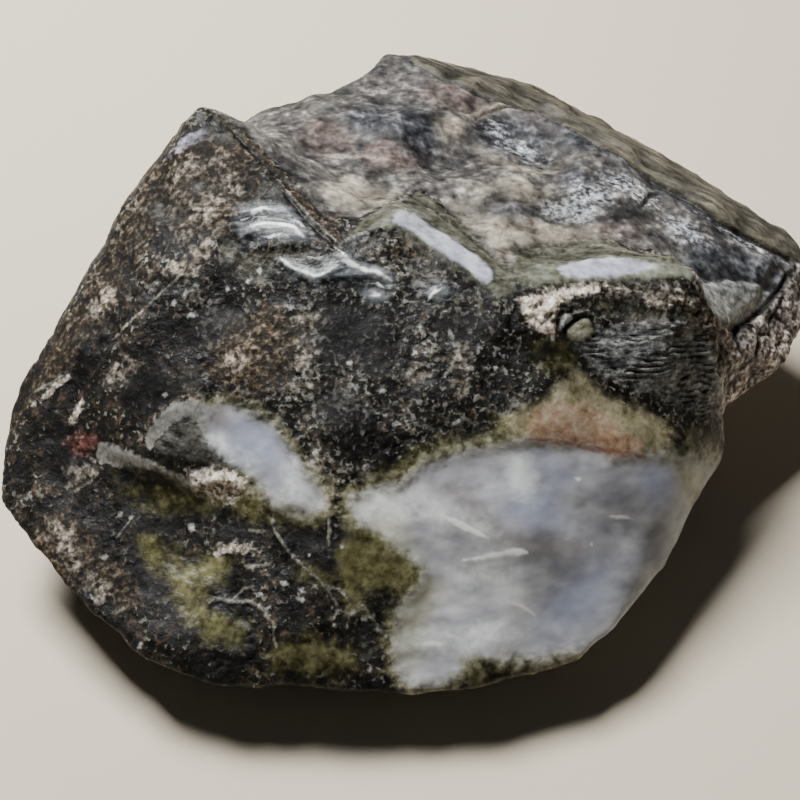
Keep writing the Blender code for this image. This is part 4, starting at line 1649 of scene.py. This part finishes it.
@dataclass
class JadeiteStone:
    """The stone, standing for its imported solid. Sizes are in millimetres.

    An area's depth is at most facing_depth times how far the skin faces above the area's lowest. The
    broken area is what faces backwards, and the skin past right_end along x and past behind along y
    that is not nearly level. A face counts as folded when the cosine of the angle between it and the
    faces round it is below fold_limit. The relief begins between the two heights of foot, so that the
    stone still stands on its base.
    """

    node: str = "jadeite_stone"
    body: str = "root"
    grain: float = 0.3
    wear_passes: int = 4
    triangles: int = 195_000
    facing_depth: float = 6.0
    mend_passes: int = 3
    fold_limit: float = 0.35
    right_end: float = 37.0
    behind: float = -11.0
    rind_height: float = 0.2
    shelf_height: float = 0.26
    broken_height: float = 0.3
    sheen_fold_height: float = 0.34
    glare_height: float = 0.16
    band_height: float = 0.14
    line_height: float = 0.14
    line_spacing: float = 0.66
    crumb_height: float = 0.16
    foot: tuple[float, float] = (0.3, 3.0)
    depths: dict[Area, Points] = field(default_factory=dict)
    grain_shown: Points | None = None

    def merged_copy(self) -> bpy.types.Object:
        """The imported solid's mesh with its triangles joined, as an object of its own.

        Returns:
            The object.
        """
        shape = bmesh.new()
        shape.from_mesh(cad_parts[self.node].data)
        bmesh.ops.remove_doubles(shape, verts=shape.verts, dist=1e-6)
        mesh = bpy.data.meshes.new("stone")
        shape.to_mesh(mesh)
        shape.free()
        stone = bpy.data.objects.new("stone", mesh)
        bpy.context.scene.collection.objects.link(stone)
        return stone

    def settle(self, stone: bpy.types.Object) -> None:
        """Replaces the mesh with what the modifiers make of it.

        Args:
            stone: The object.
        """
        graph = bpy.context.evaluated_depsgraph_get()
        mesh = bpy.data.meshes.new_from_object(stone.evaluated_get(graph))
        stone.modifiers.clear()
        stone.data = mesh

    def refine(self, stone: bpy.types.Object) -> None:
        """Rounds the solid's flat faces off and gives the mesh an even, fine grain.

        Args:
            stone: The object.
        """
        rounded = stone.modifiers.new("rounded", "SUBSURF")
        rounded.levels = rounded.render_levels = 1
        even = stone.modifiers.new("even", "REMESH")
        even.mode = "VOXEL"
        even.voxel_size = self.grain * MM
        worn = stone.modifiers.new("worn", "SMOOTH")
        worn.factor = 0.5
        worn.iterations = self.wear_passes
        self.settle(stone)

    def read(self, stone: bpy.types.Object) -> tuple[Points, Points]:
        """The mesh's places and directions.

        Args:
            stone: The object.

        Returns:
            Rows of millimetres, and the outward direction at each.
        """
        mesh = stone.data
        places = np.empty(len(mesh.vertices) * 3, np.float32)
        mesh.vertices.foreach_get("co", places)
        facing = np.empty(len(mesh.vertices) * 3, np.float32)
        mesh.vertex_normals.foreach_get("vector", facing)
        return places.reshape(-1, 3).astype(np.float64) / MM, facing.reshape(-1, 3).astype(np.float64)

    def survey(self, points: Points, facing: Points) -> None:
        """Works out how deep each point lies inside each area.

        Args:
            points: Rows of millimetres.
            facing: The outward direction at each.
        """
        for area in Area:
            self.depths[area] = np.full(len(points), -FAR)
        for shape in SHAPES:
            up = (facing[:, 2] - shape.lowest) * self.facing_depth
            depth = np.clip(np.minimum(shape.depth(points), up), -FAR, FAR)
            self.depths[shape.area] = np.maximum(self.depths[shape.area], depth)
        # Backwards is mostly along y and a little along x. A change of 1 in facing is worth 7 or 8 mm.
        backwards = (facing[:, 1] * 0.92 + facing[:, 0] * 0.38 - np.abs(facing[:, 2]) * 0.4 - 0.1) * 7.0
        right_end = np.minimum((points[:, 0] - self.right_end) * 0.9, (0.8 - facing[:, 2]) * 8.0)
        behind = (points[:, 1] - self.behind) * 0.6
        self.depths[Area.BROKEN] = np.clip(np.maximum(backwards, np.minimum(right_end, behind)), -FAR, FAR)

    def inside(self, area: Area, soft: float = 0.6) -> Points:
        """How much of each point belongs to an area, fading over the given millimetres."""
        return fade(self.depths[area], -soft, soft)

    def stepped_lines(self, points: Points) -> Points:
        """The fine, slightly wavy, nearly level ridges of the broken face on the right.

        Args:
            points: Rows of millimetres.

        Returns:
            The height at each, in shares of a ridge's.
        """
        climb = 0.766 * points[:, 1] + 0.643 * points[:, 2] - 0.05 * points[:, 0]
        climb += 0.9 * rough(points, 5.0, 91.0) + 0.35 * rough(points, 1.4, 97.0)
        return np.sin(2.0 * np.pi * climb / self.line_spacing) * (0.6 + 1.6 * rough(points, 2.0, 99.0))

    def relief(self, points: Points) -> Points:
        """How far the skin stands out.

        Args:
            points: Rows of millimetres.

        Returns:
            The height at each.
        """
        jade = np.maximum(self.inside(Area.JADE, 0.8), self.inside(Area.STRIP, 0.4))
        band = self.inside(Area.BAND)
        shelf = np.maximum(self.inside(Area.SHELF), band)
        facet = self.inside(Area.FACET)
        streaked = self.inside(Area.STREAKED)
        foil = self.inside(Area.SHEEN_FOLDS, 1.0)
        broken = self.inside(Area.BROKEN, 2.0) * (1.0 - shelf)
        smooth = np.maximum.reduce([jade, facet, streaked, self.inside(Area.PLATE_AND_EDGE_HIGHLIGHT, 0.4)])
        olive = np.maximum(self.inside(Area.OLIVE, 1.5), self.inside(Area.DARK_OLIVE, 1.5))
        tanned = np.maximum(self.inside(Area.TAN, 1.0), self.inside(Area.RUST, 1.0))
        lined = self.inside(Area.STRIATED, 1.0)
        calm = self.inside(Area.CALM, 1.5)
        rind = (1.0 - shelf) * (1.0 - broken) * (1.0 - smooth) * (1.0 - 0.55 * olive)
        rind *= (1.0 - 0.85 * tanned) * (1.0 - 0.75 * foil) * (1.0 - 0.5 * lined)
        worn = 0.6 * np.maximum.reduce([olive, tanned, foil, 0.5 * calm])
        self.grain_shown = np.maximum(1.0 - 0.6 * shelf - 0.93 * jade - 0.55 * (smooth - jade) - worn, 0.07)

        # Each pattern has the size of its lumps and a number that sets it apart from the others.
        broad = rough(points, 4.6, 3.0)
        medium = rough(points, 2.2, 11.0)
        fine = rough(points, 1.0, 23.0)
        crumbs = clods(points, 1.5, 31.0) - 0.6
        pebbles = clods(points, 2.8, 37.0) - 0.6
        swarms = fade(rough(points, 8.0, 41.0), -0.25, 0.35) * (1.0 - calm)
        bumps = 1.8 * broad + 0.9 * medium + 0.4 * fine + (0.15 + 0.7 * swarms) * crumbs
        height = rind * self.rind_height * bumps

        folds = 1.0 - 2.0 * np.abs(rough(points, 3.2, 47.0, (3.0, 1.0, 1.0)))
        height += foil * (self.sheen_fold_height * folds - 0.05) + self.glare_height * self.inside(Area.GLARE, 0.5)
        plain = shelf * (1.0 - smooth)
        height += plain * self.shelf_height * (1.4 * broad + 0.9 * medium + 0.3 * fine)
        height += plain * (1.0 - band) * self.shelf_height * 0.2 * crumbs
        layers = rough(turned(points, LAYER_TURN), 0.9, 67.0, (7.0, 1.0, 1.0))
        height += band * self.band_height * layers
        height += broken * self.broken_height * (1.6 * broad + medium + 0.8 * pebbles + 0.4 * crumbs)
        height += smooth * (1.0 - jade) * 0.05 * medium
        height += lined * self.line_height * self.stepped_lines(points)
        grit = clods(points, 0.8, 53.0)
        height += self.inside(Area.BUFF, 0.8) * rind * (0.14 * grit - 0.05)
        return height + self.inside(Area.CRUMB, 0.4) * (self.crumb_height * grit + 0.15 * fine)

    def features(self, points: Points, facing: Points) -> Points:
        """How far the windows, lines, hollows and lumps and the eye stand out or lie sunk.

        Args:
            points: Rows of millimetres.
            facing: The outward direction at each.

        Returns:
            The height at each.
        """
        height = self.inside(Area.JADE, 0.8) * 0.12 * rough(points, 5.0, 101.0)
        for area, rise, soft in MARK_HEIGHTS:
            height += rise * self.inside(area, soft)
        return height + Eye().relief(points) * (facing[:, 2] > 0.0)

    def carve(self, stone: bpy.types.Object) -> None:
        """Raises the relief, keeps each area on the mesh and thins the mesh where it is plain.

        Args:
            stone: The object.
        """
        points, facing = self.read(stone)
        self.survey(points, facing)
        clear_of_floor = fade(points[:, 2], *self.foot)
        raised = self.relief(points) * clear_of_floor
        areas = ((area.value, depth) for area, depth in self.depths.items())
        for name, values in ((RELIEF, raised), (GRAIN, self.grain_shown), *areas):
            kept = stone.data.attributes.new(name, "FLOAT", "POINT")
            kept.data.foreach_set("value", values.astype(np.float32))
        raised += self.features(points, facing) * clear_of_floor
        points += facing * raised[:, None]
        stone.data.vertices.foreach_set("co", (points * MM).astype(np.float32).ravel())
        stone.data.update()
        thin = stone.modifiers.new("thin", "DECIMATE")
        thin.ratio = self.triangles / (2 * len(stone.data.polygons))  # each is a quad, so two triangles
        self.settle(stone)
        self.mend(stone)
        stone.data.polygons.foreach_set("use_smooth", np.ones(len(stone.data.polygons), dtype=bool))

    def mend(self, stone: bpy.types.Object) -> None:
        """Turns the longest edge of each face that the thinning folded over.

        Args:
            stone: The object.
        """
        mesh = bmesh.new()
        mesh.from_mesh(stone.data)
        for _ in range(self.mend_passes):
            mesh.normal_update()
            folded = (face for face in mesh.faces if self.folded(face))
            longest = {max(face.edges, key=lambda edge: edge.calc_length()) for face in folded}
            bmesh.ops.rotate_edges(mesh, edges=sorted(longest, key=lambda edge: edge.index), use_ccw=False)
            mesh.edges.index_update()
        mesh.to_mesh(stone.data)
        mesh.free()

    def folded(self, face: bmesh.types.BMFace) -> bool:
        """Whether a face points well away from all the faces it touches.

        Args:
            face: A face with up-to-date normals.

        Returns:
            True for a folded face.
        """
        beside = Vector((0.0, 0.0, 0.0))
        for edge in face.edges:
            for other in edge.link_faces:
                if other is not face:
                    beside += other.normal
        agree = beside.length > 2.0  # the three faces beside it point much the same way
        return agree and face.normal.dot(beside.normalized()) < self.fold_limit

    def build(self) -> bpy.types.Object:
        """Makes the stone.

        Returns:
            The finished object.
        """
        stone = self.merged_copy()
        self.refine(stone)
        self.carve(stone)
        stone.data.materials.clear()
        stone.data.materials.append(StoneSkin().make())
        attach(stone, self.body)
        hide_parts(self.node)
        return stone


@dataclass
class Studio:
    """A plain pale floor, soft light from behind on the left, and the camera. Sizes are in metres."""

    floor_size: float = 6.0
    floor_colour: Colour = (0.64, 0.565, 0.44)
    lens: float = 78.3  # millimetres, over a sensor of sensor_width
    sensor_width: float = 36.0
    nearest: float = 0.01
    tilt: float = 40.0  # degrees
    camera_place: Triple = (-0.00274, -0.14862, 0.18423)
    key_place: Triple = (-0.15, 0.17, 0.40)
    key_size: float = 0.17
    key_power: float = 5.6
    fill_place: Triple = (0.35, -0.45, 0.5)
    fill_size: float = 0.7
    fill_power: float = 0.115
    sky_colour: Colour = (0.95, 0.97, 1.0)
    sky_strength: float = 0.024

    def lay_floor(self) -> bpy.types.Object:
        """Lays the floor.

        Returns:
            The floor.
        """
        shape = bmesh.new()
        bmesh.ops.create_grid(shape, x_segments=1, y_segments=1, size=self.floor_size / 2.0)
        mesh = bpy.data.meshes.new("floor")
        shape.to_mesh(mesh)
        shape.free()
        floor = bpy.data.objects.new("floor", mesh)
        bpy.context.scene.collection.objects.link(floor)
        paint = bpy.data.materials.new("pale_floor")
        paint.use_nodes = True
        surface = paint.node_tree.nodes["Principled BSDF"]
        surface.inputs["Base Color"].default_value = (*self.floor_colour, 1.0)
        surface.inputs["Roughness"].default_value = 0.9
        mesh.materials.append(paint)
        return floor

    def hang_light(self, name: str, place: Triple, size: float, power: float) -> bpy.types.Object:
        """Hangs a square soft light that faces the stone.

        Args:
            name: Its name.
            place: Where it hangs.
            size: Its side.
            power: Its power in watts.

        Returns:
            The light.
        """
        lamp = bpy.data.lights.new(name, "AREA")
        lamp.shape = "SQUARE"
        lamp.size = size
        lamp.energy = power
        light = bpy.data.objects.new(name, lamp)
        light.location = place
        light.rotation_euler = (-Vector(place)).to_track_quat("-Z", "Y").to_euler()
        bpy.context.scene.collection.objects.link(light)
        return light

    def light(self) -> None:
        """Hangs the lights and sets the even light around them."""
        self.hang_light("key", self.key_place, self.key_size, self.key_power)
        self.hang_light("fill", self.fill_place, self.fill_size, self.fill_power)
        world = bpy.data.worlds.new("even_light")
        world.use_nodes = True
        background = world.node_tree.nodes["Background"]
        background.inputs["Color"].default_value = (*self.sky_colour, 1.0)
        background.inputs["Strength"].default_value = self.sky_strength
        bpy.context.scene.world = world

    def place_camera(self) -> bpy.types.Object:
        """Places the camera.

        Returns:
            The camera.
        """
        lens = bpy.data.cameras.new("camera")
        lens.lens = self.lens
        lens.sensor_width = self.sensor_width
        lens.clip_start = self.nearest
        camera = bpy.data.objects.new("camera", lens)
        camera.location = self.camera_place
        camera.rotation_euler = (math.radians(self.tilt), 0.0, 0.0)
        bpy.context.scene.collection.objects.link(camera)
        bpy.context.scene.camera = camera
        return camera


def main() -> None:
    """Builds the stone and the studio round it."""
    logging.basicConfig(level=logging.INFO, format="%(name)s: %(message)s")
    stone = JadeiteStone().build()
    LOG.info("%s: %d faces", stone.name, len(stone.data.polygons))
    studio = Studio()
    floor = studio.lay_floor()
    LOG.info("%s laid", floor.name)
    studio.light()
    camera = studio.place_camera()
    LOG.info("%s placed", camera.name)


if __name__ == "__main__":
    main()
